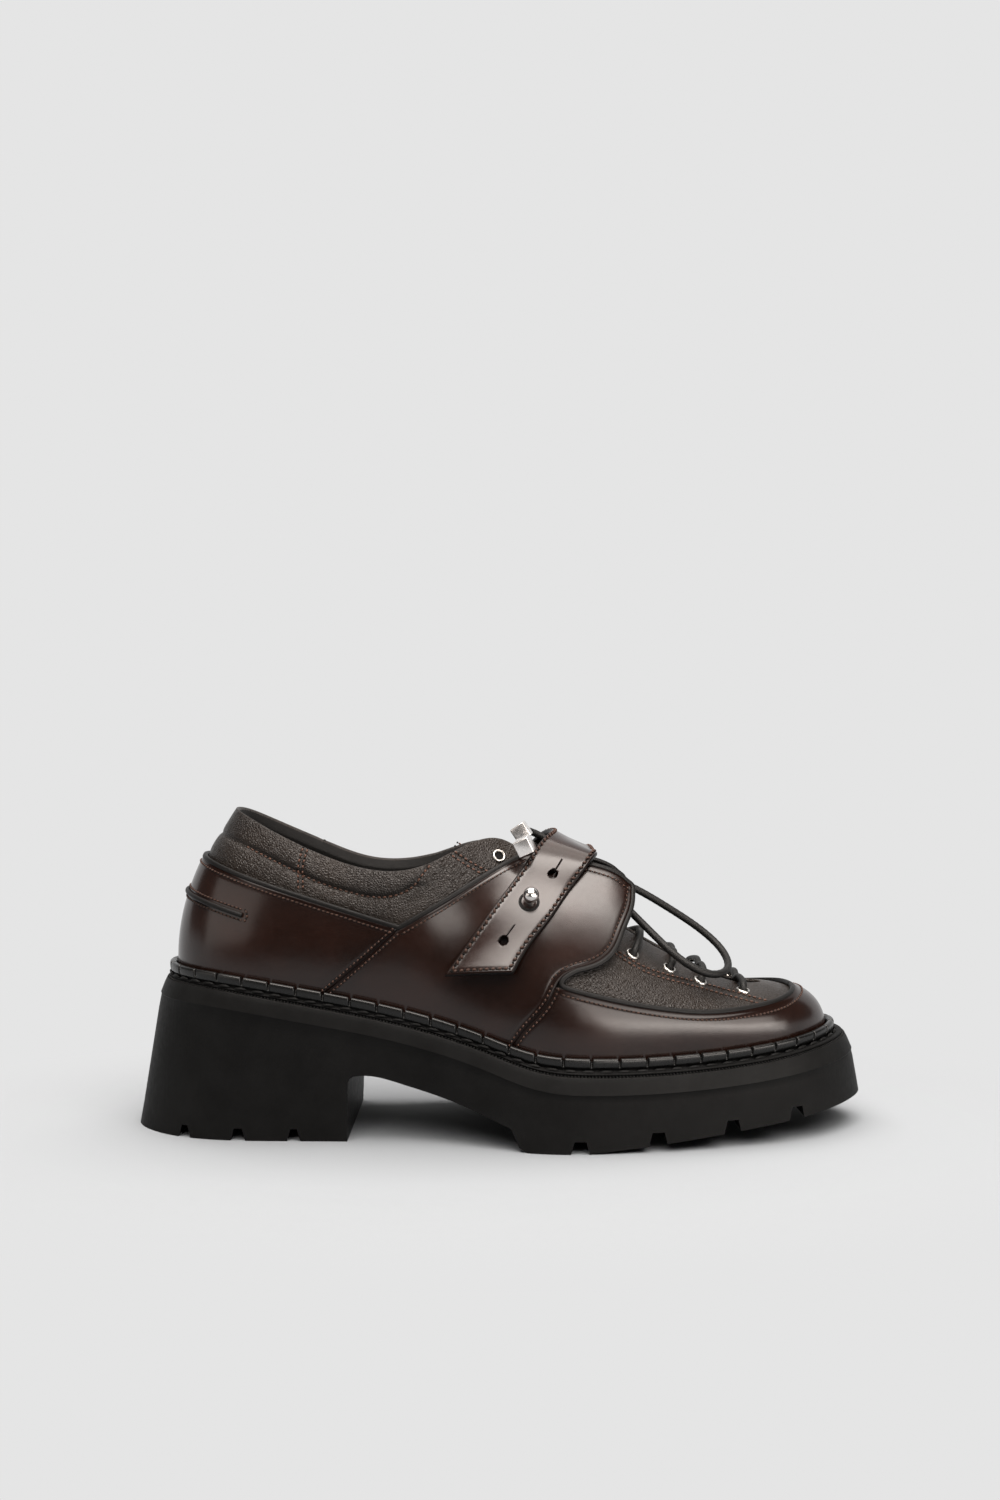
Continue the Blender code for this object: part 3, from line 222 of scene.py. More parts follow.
# How much further the rows of the free end stand off the quarter
STRAP_SPRING = (4.8, 1.8, 0.3, 0.0)
STRAP_SHOULDER_X = (13.4, 34.6)
STRAP_CREST = StrapRow(19.8, 115.2, 37.0, 105.6)
STUD_PLACE = Level(11.5, 88.6)
KEYHOLES = levels((19.6, 98.0), (1.6, 75.2))

EYELET_PLACES = levels((49.9, 68.4), (64.1, 62.6), (76.1, 57.6), (93.4, 53.1))
EAR_EYELET = Level(-0.5, 105.5)

# Elastic cord from the near cord end, under the strap, round the loop and back to the far cord end: x, y, z
CORD_ROUTE = (
    (9.9, -24.0, 110.6), (10.5, -21.0, 111.0), (11.8, -16.0, 110.0),
    (14.2, -11.4, 108.0), (18.0, -8.2, 105.4), (22.4, -7.2, 102.4),
    (30.0, -7.6, 98.0),
    (41.0, -9.0, 91.8), (51.0, -13.2, 83.0), (61.0, -20.8, 73.2),
    (70.0, -26.6, 65.8), (78.5, -26.8, 61.8), (85.6, -20.6, 61.6),
    (88.2, -12.0, 64.0), (86.4, -4.6, 68.4), (80.6, -0.8, 74.0),
    (69.0, 1.0, 82.0), (52.5, 0.6, 91.6), (37.0, 0.8, 98.6),
    (25.0, 1.8, 105.4), (20.8, 2.4, 108.8), (17.2, 2.9, 111.2),
    (13.6, 2.9, 113.0), (10.8, 1.4, 114.0), (9.4, -1.2, 114.3),
    (8.9, -3.8, 114.2),
)


class Smooth:
    """Curve with even curvature through rows of values: closed when a period is given."""

    def __init__(self, knots, rows, period=None):
        self.knots = np.asarray(knots, float)
        self.rows = np.asarray(rows, float).reshape(len(knots), -1)
        self.period = period
        if period:
            self.knots = np.append(self.knots, self.knots[0] + period)
            self.rows = np.vstack([self.rows, self.rows[:1]])
        self.bend = self.second_derivatives()

    def second_derivatives(self):
        step = np.diff(self.knots)[:, None]
        slope = np.diff(self.rows, axis=0) / step
        count = len(self.knots)
        system = np.zeros((count, count))
        right = np.zeros_like(self.rows)
        for i in range(1, count - 1):
            before, after = step[i - 1, 0], step[i, 0]
            system[i, i - 1: i + 2] = before, 2 * (before + after), after
            right[i] = 6 * (slope[i] - slope[i - 1])
        if self.period:
            before, after = step[-1, 0], step[0, 0]
            system[0, [count - 2, 0, 1]] = before, 2 * (before + after), after
            right[0] = 6 * (slope[0] - slope[-1])
            system[-1, [0, -1]] = 1, -1
        else:
            system[0, 0] = system[-1, -1] = 1
        return np.linalg.solve(system, right)

    def __call__(self, at):
        at = np.asarray(at, float)
        if self.period:
            at = self.knots[0] + np.mod(at - self.knots[0], self.period)
        i = np.clip(np.searchsorted(self.knots, at, side="right") - 1, 0, len(self.knots) - 2)
        step = (self.knots[i + 1] - self.knots[i])[..., None]
        high = (at - self.knots[i])[..., None] / step
        low = 1 - high
        straight = low * self.rows[i] + high * self.rows[i + 1]
        curved = (low ** 3 - low) * self.bend[i] + (high ** 3 - high) * self.bend[i + 1]
        return straight + curved * step ** 2 / 6


def distances(points):
    """Running length along a row of points."""
    return np.concatenate([[0], np.cumsum(np.linalg.norm(np.diff(points, axis=0), axis=1))])


def through(points, count):
    """Even points on the smooth open curve through the given ones."""
    points = np.asarray(points, float)
    along = distances(points)
    return Smooth(along, points)(np.linspace(0, along[-1], count))


def rib_curve():
    """All columns of SECTIONS as one closed curve: u is 0 at the heel, 1 at the toe tip, 2 at the heel."""
    columns = np.array([row[1:] for row in SECTIONS], float)
    feet = np.vstack([columns[:, :2], columns[:1, :2]])
    along = distances(feet)
    lateral = along / along[TOE_ROW]
    medial = 1 + (along - along[TOE_ROW]) / (along[-1] - along[TOE_ROW])
    knots = np.where(along <= along[TOE_ROW], lateral, medial)[:-1]
    return Smooth(knots, columns, period=2.0)


RIBS = rib_curve()
SOLE_TOP_CURVE = Smooth([row.x for row in SOLE_TOP], [row.z for row in SOLE_TOP])
COLUMN = {name: i for i, name in enumerate(Section._fields[1:])}


def column(u, name):
    return RIBS(u)[..., COLUMN[name]]


def sole_top(x):
    return SOLE_TOP_CURVE(np.clip(x, SOLE_TOP[0].x, SOLE_TOP[-1].x))[..., 0]


def smoothstep(value):
    value = np.clip(value, 0, 1)
    return value * value * (3 - 2 * value)


def outward(u):
    """Plan direction that points away from the foot."""
    step = 1e-4
    along = RIBS(np.asarray(u) + step)[..., :2] - RIBS(np.asarray(u) - step)[..., :2]
    normal = np.stack([along[..., 1], -along[..., 0]], axis=-1)
    return normal / np.linalg.norm(normal, axis=-1, keepdims=True)


def rib_point(u, t, lifted):
    """Point on the upper: t is 0 at the sole and 1 at the collar or throat."""
    u, t = np.broadcast_arrays(np.asarray(u, float), np.asarray(t, float))
    row = RIBS(u)
    pick = {name: row[..., i] for name, i in COLUMN.items()}
    away = outward(u)
    pitch = np.radians(pick["pitch"])
    foot = np.stack([pick["foot_x"], pick["foot_y"], sole_top(pick["foot_x"]) + GAP], axis=-1)
    top = np.stack([pick["top_x"], pick["top_y"], pick["top_z"]], axis=-1)
    low = foot.copy()
    low[..., :2] += away * pick["bulge"][..., None]
    low[..., 2] += pick["rise"]
    high = top.copy()
    high[..., :2] += away * (pick["reach"] * np.cos(pitch))[..., None]
    high[..., 2] -= pick["reach"] * np.sin(pitch)
    s = t[..., None]
    point = (1 - s) ** 3 * foot + 3 * (1 - s) ** 2 * s * low + 3 * (1 - s) * s ** 2 * high + s ** 3 * top
    if lifted:
        span = WING_LIFT_END_X - WING_LIFT_START_X
        share = smoothstep((pick["top_x"] - WING_LIFT_START_X) / span)
        height = np.clip((t - WING_LIFT_FROM) / (1 - WING_LIFT_FROM), 0, None) ** WING_LIFT_POWER
        lift = WING_LIFT * share * height
        point = point.copy()
        point[..., 2] += lift
        point[..., 1] += np.sign(away[..., 1]) * WING_LIFT_OUT * lift
    return point


def surface(u, t, offset=0.0, lifted=False):
    """Point on the upper moved outward along its normal."""
    step = 1e-3
    along = rib_point(np.asarray(u) + step, t, lifted) - rib_point(np.asarray(u) - step, t, lifted)
    up = rib_point(u, np.asarray(t) + step, lifted) - rib_point(u, np.asarray(t) - step, lifted)
    normal = np.cross(along, up)
    normal /= np.linalg.norm(normal, axis=-1, keepdims=True)
    return rib_point(u, t, lifted) + normal * np.asarray(offset)[..., None]


def surface_normal(u, t, lifted=False):
    return surface(u, t, 1.0, lifted) - surface(u, t, 0.0, lifted)


def level(u, height_at, lifted=False):
    """The t at which each rib u crosses the line of the given height over x."""
    low = np.zeros_like(u)
    high = np.ones_like(u)
    for _ in range(40):
        middle = (low + high) / 2
        point = rib_point(u, middle, lifted)
        below = point[..., 2] < height_at(point[..., 0])
        low = np.where(below, middle, low)
        high = np.where(below, high, middle)
    return (low + high) / 2


def spots(rows, side, lifted=False):
    """Surface parameters (u, t) of points given as x and z on one side of the shoe."""
    targets = np.asarray(rows, float)
    us = np.linspace(0.02, 0.98, 120)
    us = us if side == LATERAL else 2 - us
    ts = np.linspace(0.0, 1.0, 80)
    grid = rib_point(us[:, None], ts[None, :], lifted)[..., [0, 2]].reshape(-1, 2)
    nearest = np.array([np.argmin(np.sum((grid - target) ** 2, axis=1)) for target in targets])
    guess = np.column_stack([us[nearest // len(ts)], ts[nearest % len(ts)]])
    step = 1e-4
    for _ in range(14):
        here = rib_point(guess[:, 0], guess[:, 1], lifted)[:, [0, 2]]
        by_u = (rib_point(guess[:, 0] + step, guess[:, 1], lifted)[:, [0, 2]] - here) / step
        by_t = (rib_point(guess[:, 0], guess[:, 1] + step, lifted)[:, [0, 2]] - here) / step
        slopes = np.stack([by_u, by_t], axis=-1)
        turned = np.swapaxes(slopes, 1, 2)
        pull = turned @ (targets - here)[..., None]
        move = np.linalg.solve(turned @ slopes + 1e-3 * np.eye(2), pull)[..., 0]
        guess += np.clip(move, -0.05, 0.05)
    return guess


def drawn(rows, side, count, lifted=False):
    """Even points, as (u, t), on a smooth line drawn on one side of the shoe."""
    return spots(through(rows, count), side, lifted)


def outline(u, kind, out=0.0):
    """Plan curve of the foot or the tread, moved outward."""
    row = RIBS(u)
    plan = row[..., [COLUMN[kind + "_x"], COLUMN[kind + "_y"]]]
    return plan + outward(u) * np.asarray(out)[..., None]


def tread_height(x):
    """Underside of the forefoot: flat, then rising to the toe."""
    share = max(0.0, (x - TREAD_FLAT_X) / (TOE_TIP_X - TREAD_FLAT_X))
    return TOE_SPRING * share ** TOE_SPRING_POWER


def sole_rings(u):
    """Top edge, foot of the bevel and tread outline of the sole."""
    ledge = outline(u, "foot", column(u, "ledge"))
    tread = outline(u, "tread")
    top = sole_top(ledge[:, 0])
    share = (BEVEL_DROP / top)[:, None]
    bevel = ledge * (1 - share) + tread * share + outward(u) * BEVEL_OUT
    return np.stack([
        np.column_stack([ledge, top]),
        np.column_stack([bevel, top - BEVEL_DROP]),
        np.column_stack([tread, np.full(len(u), -BELOW_FLOOR)]),
    ])


def plan_middle():
    """Middle of the sole's plan on the last's axes, with the tread where it ends at the underside."""
    ledge, bevel, tread = sole_rings(np.linspace(0, 2, 721))
    low = np.array([tread_height(x) for x in tread[:, 0]])
    share = ((bevel[:, 2] - low) / (bevel[:, 2] - tread[:, 2]))[:, None]
    plan = np.vstack([ledge, bevel, bevel * (1 - share) + tread * share])[:, :2]
    return (plan.min(axis=0) + plan.max(axis=0)) / 2


MIDDLE = np.append(plan_middle(), 0.0)


def metres(points):
    return (np.asarray(points, float) - MIDDLE) * MM


def ring_stations(count):
    """Stations right round the shoe, in pairs that face each other across it, closer at toe and heel."""
    even = np.linspace(0, 1, count, endpoint=False)
    lateral = even - END_CROWDING * np.sin(math.tau * even) / math.tau
    return np.concatenate([lateral, 1 + lateral])


def underside():
    """Side profile of the sole's underside: heel, breast, arch, tread step and toe spring."""
    arch = [(HEEL_BREAST_X + row.forward, ARCH_HIGH - row.down) for row in BREAST_FILLET]
    start_x, start_z = arch[-1]
    for share in ARCH_SHARES:
        drop = (start_z - TREAD_STEP) * share ** ARCH_POWER
        arch.append((start_x + (TREAD_START_X - start_x) * share, start_z - drop))
    tread = [(TREAD_START_X + row.forward, TREAD_STEP * row.share) for row in TREAD_EDGE]
    toe = [(x, tread_height(x)) for x in np.linspace(TREAD_FLAT_X, CUT_FAR, 9)]
    end = [(CUT_FAR, CUT_FAR), (-CUT_FAR, CUT_FAR), (-CUT_FAR, 0.0), (HEEL_BREAST_X, 0.0)]
    return arch + tread + toe + end


def wall_thickness(u, t):
    """Wall of the upper, padded towards the collar."""
    behind = smoothstep((COLLAR_PAD_FRONT_X - column(u, "top_x")) / COLLAR_PAD_BLEND)
    return WALL + COLLAR_PAD * behind * smoothstep((t - COLLAR_PAD_FROM) / COLLAR_PAD_OVER)


def throat_stations(start_x, end_x, count):
    """Lateral stations whose ribs end between two places along the throat."""
    us = np.linspace(0.3, 1.0, 600)
    return np.interp(np.linspace(start_x, end_x, count), column(us, "top_x"), us)


def patch(bottom, top, rear, front, rows):
    """Grid of (u, t) inside four edges; bottom and top run rear to front, rear and front run upward."""
    count = len(bottom)
    a = np.linspace(0, 1, count)[:, None, None]
    b = np.linspace(0, 1, rows)[None, :, None]
    sides = (1 - a) * rear[None, :, :] + a * front[None, :, :]
    ends = (1 - b) * bottom[:, None, :] + b * top[:, None, :]
    corners = (1 - a) * ((1 - b) * bottom[0] + b * top[0]) + a * ((1 - b) * bottom[-1] + b * top[-1])
    return sides + ends - corners


def height_line(rows):
    """Height over x of a line given by a few levels."""
    curve = Smooth([row.x for row in rows], [row.z for row in rows])

    def height(x):
        return curve(np.clip(x, rows[0].x, rows[-1].x))[..., 0]

    return height


def inset(rows, amount):
    """A line moved towards its right-hand side on the drawing."""
    points = np.asarray(rows, float)
    along = np.gradient(points, axis=0)
    normal = np.column_stack([along[:, 1], -along[:, 0]])
    return points + amount * normal / np.linalg.norm(normal, axis=1)[:, None]


def shifted(rows, x=0.0, z=0.0):
    return [Level(row.x + x, row.z + z) for row in rows]


def strap_column(share, count):
    """Inner face of the strap along its length; share is 0 at its rear edge and 1 at its front edge."""
    rows = np.array(STRAP_ROWS + (STRAP_CREST,), float)
    rows = rows[:, :2] * (1 - share) + rows[:, 2:] * share
    shoulder_x = STRAP_SHOULDER_X[0] * (1 - share) + STRAP_SHOULDER_X[1] * share
    shoulder = (shoulder_x, float(height_line(WING_TOP)(shoulder_x)))
    sides = {}
    for side in SIDES:
        uv = spots(np.vstack([rows[:-1], shoulder]), side, True)
        stand = np.full(len(uv), STRAP_STAND)
        if side == LATERAL:
            stand[:-1] += STRAP_SPRING
        stand[-1] = SHOULDER_STAND
        sides[side] = surface(uv[:, 0], uv[:, 1], stand, True)
    crest = np.array([[rows[-1, 0], 0.0, rows[-1, 1] - STRAP_THICKNESS]])
    return through(np.vstack([sides[LATERAL], crest, sides[MEDIAL][::-1]]), count)


# Studio, in metres but for the camera's place; a lamp's azimuth is 0 on the camera's side and 90 on the toe's
CAMERA_PLACE = (0.0, -540.0, 146.0)
SENSOR = 36.0
FOCAL_SHARE = 1363.0 / 1500.0
AIM = Vector((0.0, 0.0, 0.06))
WORLD_GREY = 0.10
FLOOR_SHAPE = (0.62, 1.0, 1.0)
FLOOR_BLEND = (0.085, 0.17)
# Before the camera the floor's colour falls to dark: painted shade of an unlit studio floor
FLOOR_FRONT = (-0.305, -0.277)
FLOOR_DARK = 0.02
FLOOR_ALBEDO = 0.23
FLOOR_GLOW = 0.783
FLOOR_XS = (-4.0, -1.5, 0.0, 1.5, 4.0)
FLOOR_YS = (-3.0, -1.0, 0.0, 0.6)
SWEEP_START = 1.2
SWEEP_RADIUS = 0.8
SWEEP_TOP = 4.0
# A lamp either draws the sheen or lights the dull surfaces
Lamp = namedtuple("Lamp", "name azimuth elevation distance wide high radiance sheen")
LAMPS = (
    Lamp("key_core", 1, 59, 1.3, 1.40, 0.36, 8.0, True),
    Lamp("key_middle", 1, 57, 1.3, 1.66, 0.52, 4.2, True),
    Lamp("key_edge", 2, 55, 1.3, 1.95, 0.80, 1.9, True),
    Lamp("top_card", 8, 76, 1.3, 1.4, 0.66, 4.0, True),
    Lamp("back_card", 188, 76, 1.3, 1.4, 0.70, 3.4, True),
    Lamp("strap_card", -10, 45, 1.3, 0.65, 0.28, 6.0, True),
    Lamp("key_fill", 14, 46, 1.3, 1.65, 0.74, 6.2, False),
    Lamp("toe_card", 36, 6, 1.0, 1.2, 0.5, 5.0, True),
    Lamp("toe_core", 33, 8, 1.0, 0.5, 0.4, 0.8, True),
    Lamp("low_card", 45, -5, 0.354, 0.42, 0.08, 5.5, True),
    Lamp("heel_card", -55, 6, 1.0, 0.8, 0.6, 1.3, True),
    Lamp("ceiling", 0, 89, 1.6, 2.0, 1.7, 8.6, False),
)
SHEEN_TINT = (1.0, 0.93, 0.87)

# Looks: sizes of their patterns in millimetres, and depths that all looks of a kind share
LEATHER_CLOUD, LEATHER_SPECK, LEATHER_PORE, LEATHER_WAVE = 22.0, 1.6, 0.35, 9.0
RUBBER_DUST, RUBBER_SPECK, RUBBER_STREAK, RUBBER_SKIN = 14.0, 2.0, 1.4, 0.5
THREAD_FLECK, THREAD_TWIST, THREAD_DEPTH = 0.9, 0.25, 0.06
METAL_SPECK, METAL_SMEAR, METAL_DEPTH = 1.5, 2.5, 0.015

# One way round the shoe, in u
LAP = 2.0

# Rounded edges of the sole: how far back and down each row lies, and shares of the bevel and of the side
SOLE_EDGE = ((1.0, 0.0), (0.2, 0.05), (0.03, 0.35))
BEVEL_SHARES = (0.35, 0.7)
BEVEL_FOOT = (0.25, 0.45)
SIDE_SHARES = (0.12, 0.3, 0.5, 0.7, 0.85)
SIDE_HOLLOW = 0.15
SOLE_SOFTNESS = 0.5
SOLE_SHARP = math.radians(35)

# Welt: its segments, the notches between them and its flange, as rows of (back, up)
WeltRow = namedtuple("WeltRow", "out up cut")
WELT_PROFILE = tuple(WeltRow(*row) for row in (
    (2.3, 0.6, 0.0), (2.3, 4.8, 0.0), (2.45, 5.8, 0.5), (2.9, 6.25, 1.0), (3.7, 6.4, 1.0), (4.4, 6.3, 1.0),
    (4.75, 6.0, 1.0), (4.95, 5.5, 1.0), (5.0, 4.6, 0.9), (5.0, 3.6, 0.6), (4.85, 3.0, 0.2), (4.4, 2.5, 0.0),
    (4.0, 1.7, 0.0),
))
WELT_PITCH = 10.3
WELT_LINE = 5.5
WELT_CORE = (3.4, 2.6)
WELT_CUT = (0.75, 0.4)
WELT_NOTCH = (-0.9, -0.66, -0.5, -0.36, -0.18, 0.0, 0.18, 0.36, 0.5, 0.66, 0.9)
WELT_NOTCH_HALF = 0.46
FLANGE = ((0.5, 1.5), (0.1, 1.2), (0.0, 0.6))
FLANGE_ROWS = 3
WELT_STITCH_BACK = 0.5
WELT_STITCH_OUT = 5.6
WELT_STITCH_UP = 1.55
WELT_STITCH_LEAN = (0.5, 0.8)
LEDGE_MARK_BACK = 1.0
LEDGE_MARK_UP = 0.05

# Overlays, bands and stitching
BAND_INSET = 0.45
BAND_HALF = 0.95
BAND_HEIGHT = 1.0
BAND_STAND = PANEL_STAND + 0.55
BAND_SQUARENESS = 0.6
CORNER_REACH = 14
CORNER_ROUNDING = 30
PANEL_FACE = PANEL_STAND + PANEL
PANEL_BACK = 0.2
RIM_BULGE = 0.3
RIM_SHARES = (0.18, 0.5, 0.82)
GLOSS_POWER = 0.7
PANEL_GLOSS_REACH = 9.0
STRAP_GLOSS_REACH = 4.5
THREAD_ROW = 2.6
THREAD_SINK = 0.12
THREAD_GROOVE = (0.14, 0.6)
EDGE_FALL = (0.12, 0.5)
SEAM_ROW = 1.2
SEAM_GAP = 0.12
SEAM_CLEAR = 0.006
PAD_SEAM_ROW = 0.9
EYESTAY_ROWS = (0.6, 2.1)
HEEL_LOOP_STAND = 0.6
HEEL_LOOP_HALF = (0.95, 0.8)
HEEL_LOOP_ROW = 2.0
HEEL_LOOP_TACK = ((1.0, 2.0), (1.8, 0.0), (0.4, -2.6))
STRAP_ROW = 1.35
STRAP_SINK = 0.1
STRAP_MIDDLE = 20
STRAP_GROOVE = (0.14, 0.7)
STRAP_EDGE_FALL = (0.15, 0.5)
# Stitch holes, drawn as dark sunk discs that are painted shade, as shares of the thread's width
HOLE_LENGTH = 0.9
HOLE_WIDTH = 1.35
HOLE_SINK = 0.22
Stitch = namedtuple("Stitch", "pitch length width height slant")
PANEL_STITCH = Stitch(1.75, 1.3, 0.75, 0.3, 12.0)
STRAP_STITCH = Stitch(2.6, 2.0, 1.0, 0.5, 36.0)
STRAP_END_STITCH = Stitch(2.1, 1.7, 0.95, 0.35, 18.0)
SEAM_STITCH = Stitch(2.0, 1.4, 0.75, 0.28, 0.0)
PAD_STITCH = Stitch(2.1, 1.5, 0.75, 0.3, 0.0)
EYESTAY_STITCH = Stitch(2.0, 1.4, 0.7, 0.28, 0.0)
WELT_STITCH = Stitch(6.6, 5.4, 1.3, 0.45, 0.0)
LEDGE_MARK = Stitch(1.25, 1.5, 0.75, 0.3, 90.0)

# Stud and the dark ring it stands in, partly the strap's hole and partly a painted shadow of the ball, as
# rows of (radius, height)
STUD_RING = ((0.01, -0.1), (2.6, -0.1), (3.3, 0.12), (3.6, 0.3), (3.9, 0.2), (4.0, -0.2))
STUD_FOOT = ((0.01, -0.4), (1.9, -0.4), (1.9, 0.3), (1.6, 0.7), (1.5, 1.3), (1.6, 2.0))
# How far the dark ring sits down the strap from the stud, where the painted shadow falls
STUD_RING_BACK = 0.7
# Slit above each keyhole, ends of the eyelets' rounding, softened edges of the cord ends
SLIT_HALF = 0.17
SLIT_LENGTH = 5.2
EYELET_TURN = 0.35
EYELET_LOW = 0.15
CORD_END_SOFTNESS = 0.4

# Cords: rise of the braid's strands, how many run each way and the length of their lay
BRAID = 0.07
STRANDS = 4
CORD_UP = (0.31, 0.17, 0.93)
LACE_LAY = 4.2
CORD_LAY = 4.6
LACE_ROUNDING = 45
LACE_DIP = 2.0

# Lines of stitching on the black leather, seen square on
PAD_LINE = levels(
    (-110, 114.0), (-97, 109.4), (-76, 99.9), (-69, 96.8), (-56, 92.7), (-46, 91.0), (-39, 91.8), (-32, 95.5),
    (-28.5, 100.0), (-26.0, 103.0),
)
PAD_SEAM = levels((-73.4, 109.0), (-75.0, 100.0), (-74.6, 93.4))
EAR_SEAM = levels((-18.0, 107.2), (-11.5, 102.8), (-4.6, 99.0))
EYESTAY = levels((41.0, 70.2), (54.0, 62.3), (69.0, 57.3), (89.0, 51.4), (104.0, 47.6))

# Relief of the black leather: two puffs of padding, grooves of the seams, the facing's step, and creases.
# A pair gives where a form starts or ends in x and over what length it fades.
ROLL = 0.14
COLLAR_FALL = 4.0
PUFF = 1.3
PUFF_REAR = (-112.0, 40.0)
PUFF_FRONT = (-25.5, 5.0)
PUFF_LEAST = 4.0
PUFF_LEAN = 0.75
PUFF_ROUNDNESS = 0.8
LOW_PUFF = 0.55
LOW_PUFF_FRONT = (-34.0, 8.0)
LOW_PUFF_LEAST = 3.0
# Line, depth and width
GROOVES = ((PAD_LINE, 0.5, 0.9), (PAD_SEAM, 0.45, 1.5), (EAR_SEAM, 0.35, 1.0))
APRON_STEP = 0.22
APRON_STEP_WIDTH = 0.8
FACING_REAR = (36.0, 6.0)
FACING_ROW = 1.6
FACING_GROOVE = (0.18, 0.6)
FACING_GROOVE_REAR = (38.0, 4.0)
CREASE_LIP = 0.6
CREASE_LIP_AT = 1.9
Crease = namedtuple("Crease", "x z angle length width depth")
CREASES = tuple(Crease(*row) for row in (
    (-66, 101.0, -52, 9, 1.2, 0.07), (-61, 98.5, -66, 7, 1.0, 0.10), (-55, 97.5, -58, 8, 1.1, 0.07),
    (-50, 95.5, -80, 6, 0.9, 0.09), (-44, 96.5, 74, 7, 1.1, 0.08), (-38, 98.0, 60, 8, 1.2, 0.12),
    (-83, 108.0, -55, 9, 1.4, 0.06), (-90, 111.0, -50, 8, 1.2, 0.05), (-70, 94.0, -20, 16, 1.6, 0.08),
    (-50, 88.0, -14, 20, 1.8, 0.09), (-30, 91.0, 30, 16, 1.8, 0.10), (-14, 99.0, 52, 12, 1.4, 0.12),
    (60, 54.5, -8, 22, 1.8, 0.13), (78, 52.0, 4, 22, 1.8, 0.12), (48, 58.5, -24, 14, 1.5, 0.16),
))


def quads(rows, columns, wrap_rows=False, wrap_columns=False):
    """Faces of a grid of points, row by row."""
    i = np.arange(rows if wrap_rows else rows - 1)[:, None]
    j = np.arange(columns if wrap_columns else columns - 1)[None, :]
    below, after = (i + 1) % rows * columns, (j + 1) % columns
    faces = np.stack([i * columns + j, i * columns + after, below + after, below + j], axis=-1)
    return faces.reshape(-1, 4).tolist()


def tube_faces(rows, columns):
    """Faces of a tube of rings, closed by its first and last ring."""
    ends = [list(range(columns)), list(range((rows - 1) * columns, rows * columns))]
    return quads(rows, columns, wrap_columns=True) + ends


def own(item, nodes=()):
    """The object rides on the shoe, and the imported parts it stands in for are hidden."""
    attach(item, "root")
    if nodes:
        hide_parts(*nodes)
    return item


def placed(name, data):
    """New object in the scene."""
    item = bpy.data.objects.new(name, data)
    bpy.context.scene.collection.objects.link(item)
    return item


def new_mesh(name, points, faces):
    """Mesh from points in millimetres, with its faces turned outward."""
    mesh = bpy.data.meshes.new(name)
    mesh.from_pydata(metres(np.reshape(points, (-1, 3))).tolist(), [], faces)
    work = bmesh.new()
    work.from_mesh(mesh)
    bmesh.ops.recalc_face_normals(work, faces=work.faces[:])
    work.to_mesh(mesh)
    work.free()
    return mesh


def piece(name, points, faces, materials, slot, nodes=(), pick=None, edge=None):
    """Piece of the shoe; pick is each face's material, edge each point's share of the panel's gloss."""
    mesh = new_mesh(name, points, faces)
    for material in materials:
        mesh.materials.append(material)
    if pick is not None:
        mesh.polygons.foreach_set("material_index", np.asarray(pick, np.int32))
    if edge is not None:
        shares = mesh.attributes.new("edge", "FLOAT", "POINT")
        shares.data.foreach_set("value", np.asarray(edge, np.float32))
    mesh.shade_smooth()
    return own(placed(name, mesh), nodes)


def unit(vectors):
    return vectors / np.linalg.norm(vectors, axis=-1, keepdims=True)


def groove(distance, depth, width):
    """Round-bottomed groove along a line, from the distance to it."""
    return depth * np.exp(-(distance / width) ** 2)


def slab(outer, inner, bulge):
    """Points, faces and face kinds (0 outside, 1 rim, 2 inside) of a leather slab with a rounded rim."""
    rows, columns = outer.shape[:2]
    size = rows * columns
    index = np.arange(size).reshape(rows, columns)
    rim = np.concatenate([index[0, :], index[1:, -1], index[-1, -2::-1], index[-2:0:-1, 0]])
    behind = np.concatenate([index[1, :], index[1:, -2], index[-2, -2::-1], index[-2:0:-1, 1]])
    high, low = outer.reshape(-1, 3), inner.reshape(-1, 3)
    away = unit(high[rim] - high[behind])
    loops = []
    for share in RIM_SHARES:
        loops.append(high[rim] + (low[rim] - high[rim]) * share + away * bulge * math.sin(math.pi * share))
    count = len(rim)
    chain = [rim] + [2 * size + k * count + np.arange(count) for k in range(len(loops))] + [size + rim]
    top = quads(rows, columns)
    bottom = (size + np.array(top)[:, ::-1]).tolist()
    sides = []
    for a, b in zip(chain, chain[1:]):
        sides += np.column_stack([a, np.roll(a, -1), np.roll(b, -1), b]).tolist()
    pick = [0] * len(top) + [2] * len(bottom) + [1] * len(sides)
    return np.vstack([high, low, *loops]), top + bottom + sides, pick


def edge_distance(grid):
    """How far each point of a grid lies from its first and last row and from its first and last column."""
    found = []
    for axis in (0, 1):
        steps = np.linalg.norm(np.diff(grid, axis=axis), axis=-1)
        run = np.cumsum(steps, axis=axis)
        first = np.concatenate([np.zeros_like(np.take(run, [0], axis=axis)), run], axis=axis)
        found += [first, np.take(first, [-1], axis=axis) - first]
    return found


def line_distance(points, rows):
    """Distance in the side view from points to a drawn line."""
    line = through(rows, 40)
    start, step = line[:-1], np.diff(line, axis=0)
    gap = points[..., None, :] - start
    share = np.clip(np.sum(gap * step, axis=-1) / np.sum(step ** 2, axis=-1), 0, 1)
    return np.linalg.norm(gap - share[..., None] * step, axis=-1).min(axis=-1)


def sweep(centres, normals, profile):
    """Points and faces of a profile, as (across, up) rows, carried along a line of centres."""
    along = unit(np.gradient(centres, axis=0))
    across = unit(np.cross(along, normals))
    up = np.cross(across, along)
    points = centres[:, None] + across[:, None] * profile[..., :1] + up[:, None] * profile[..., 1:]
    return points.reshape(-1, 3), tube_faces(*points.shape[:2])


def oval(half_width, half_height, count, squareness=1.0):
    """Oval profile; a squareness under 1 flattens its top and sides."""
    turns = np.arange(count) * math.tau / count
    plain = np.column_stack([np.cos(turns), np.sin(turns)])
    return np.sign(plain) * np.abs(plain) ** squareness * (half_width, half_height)


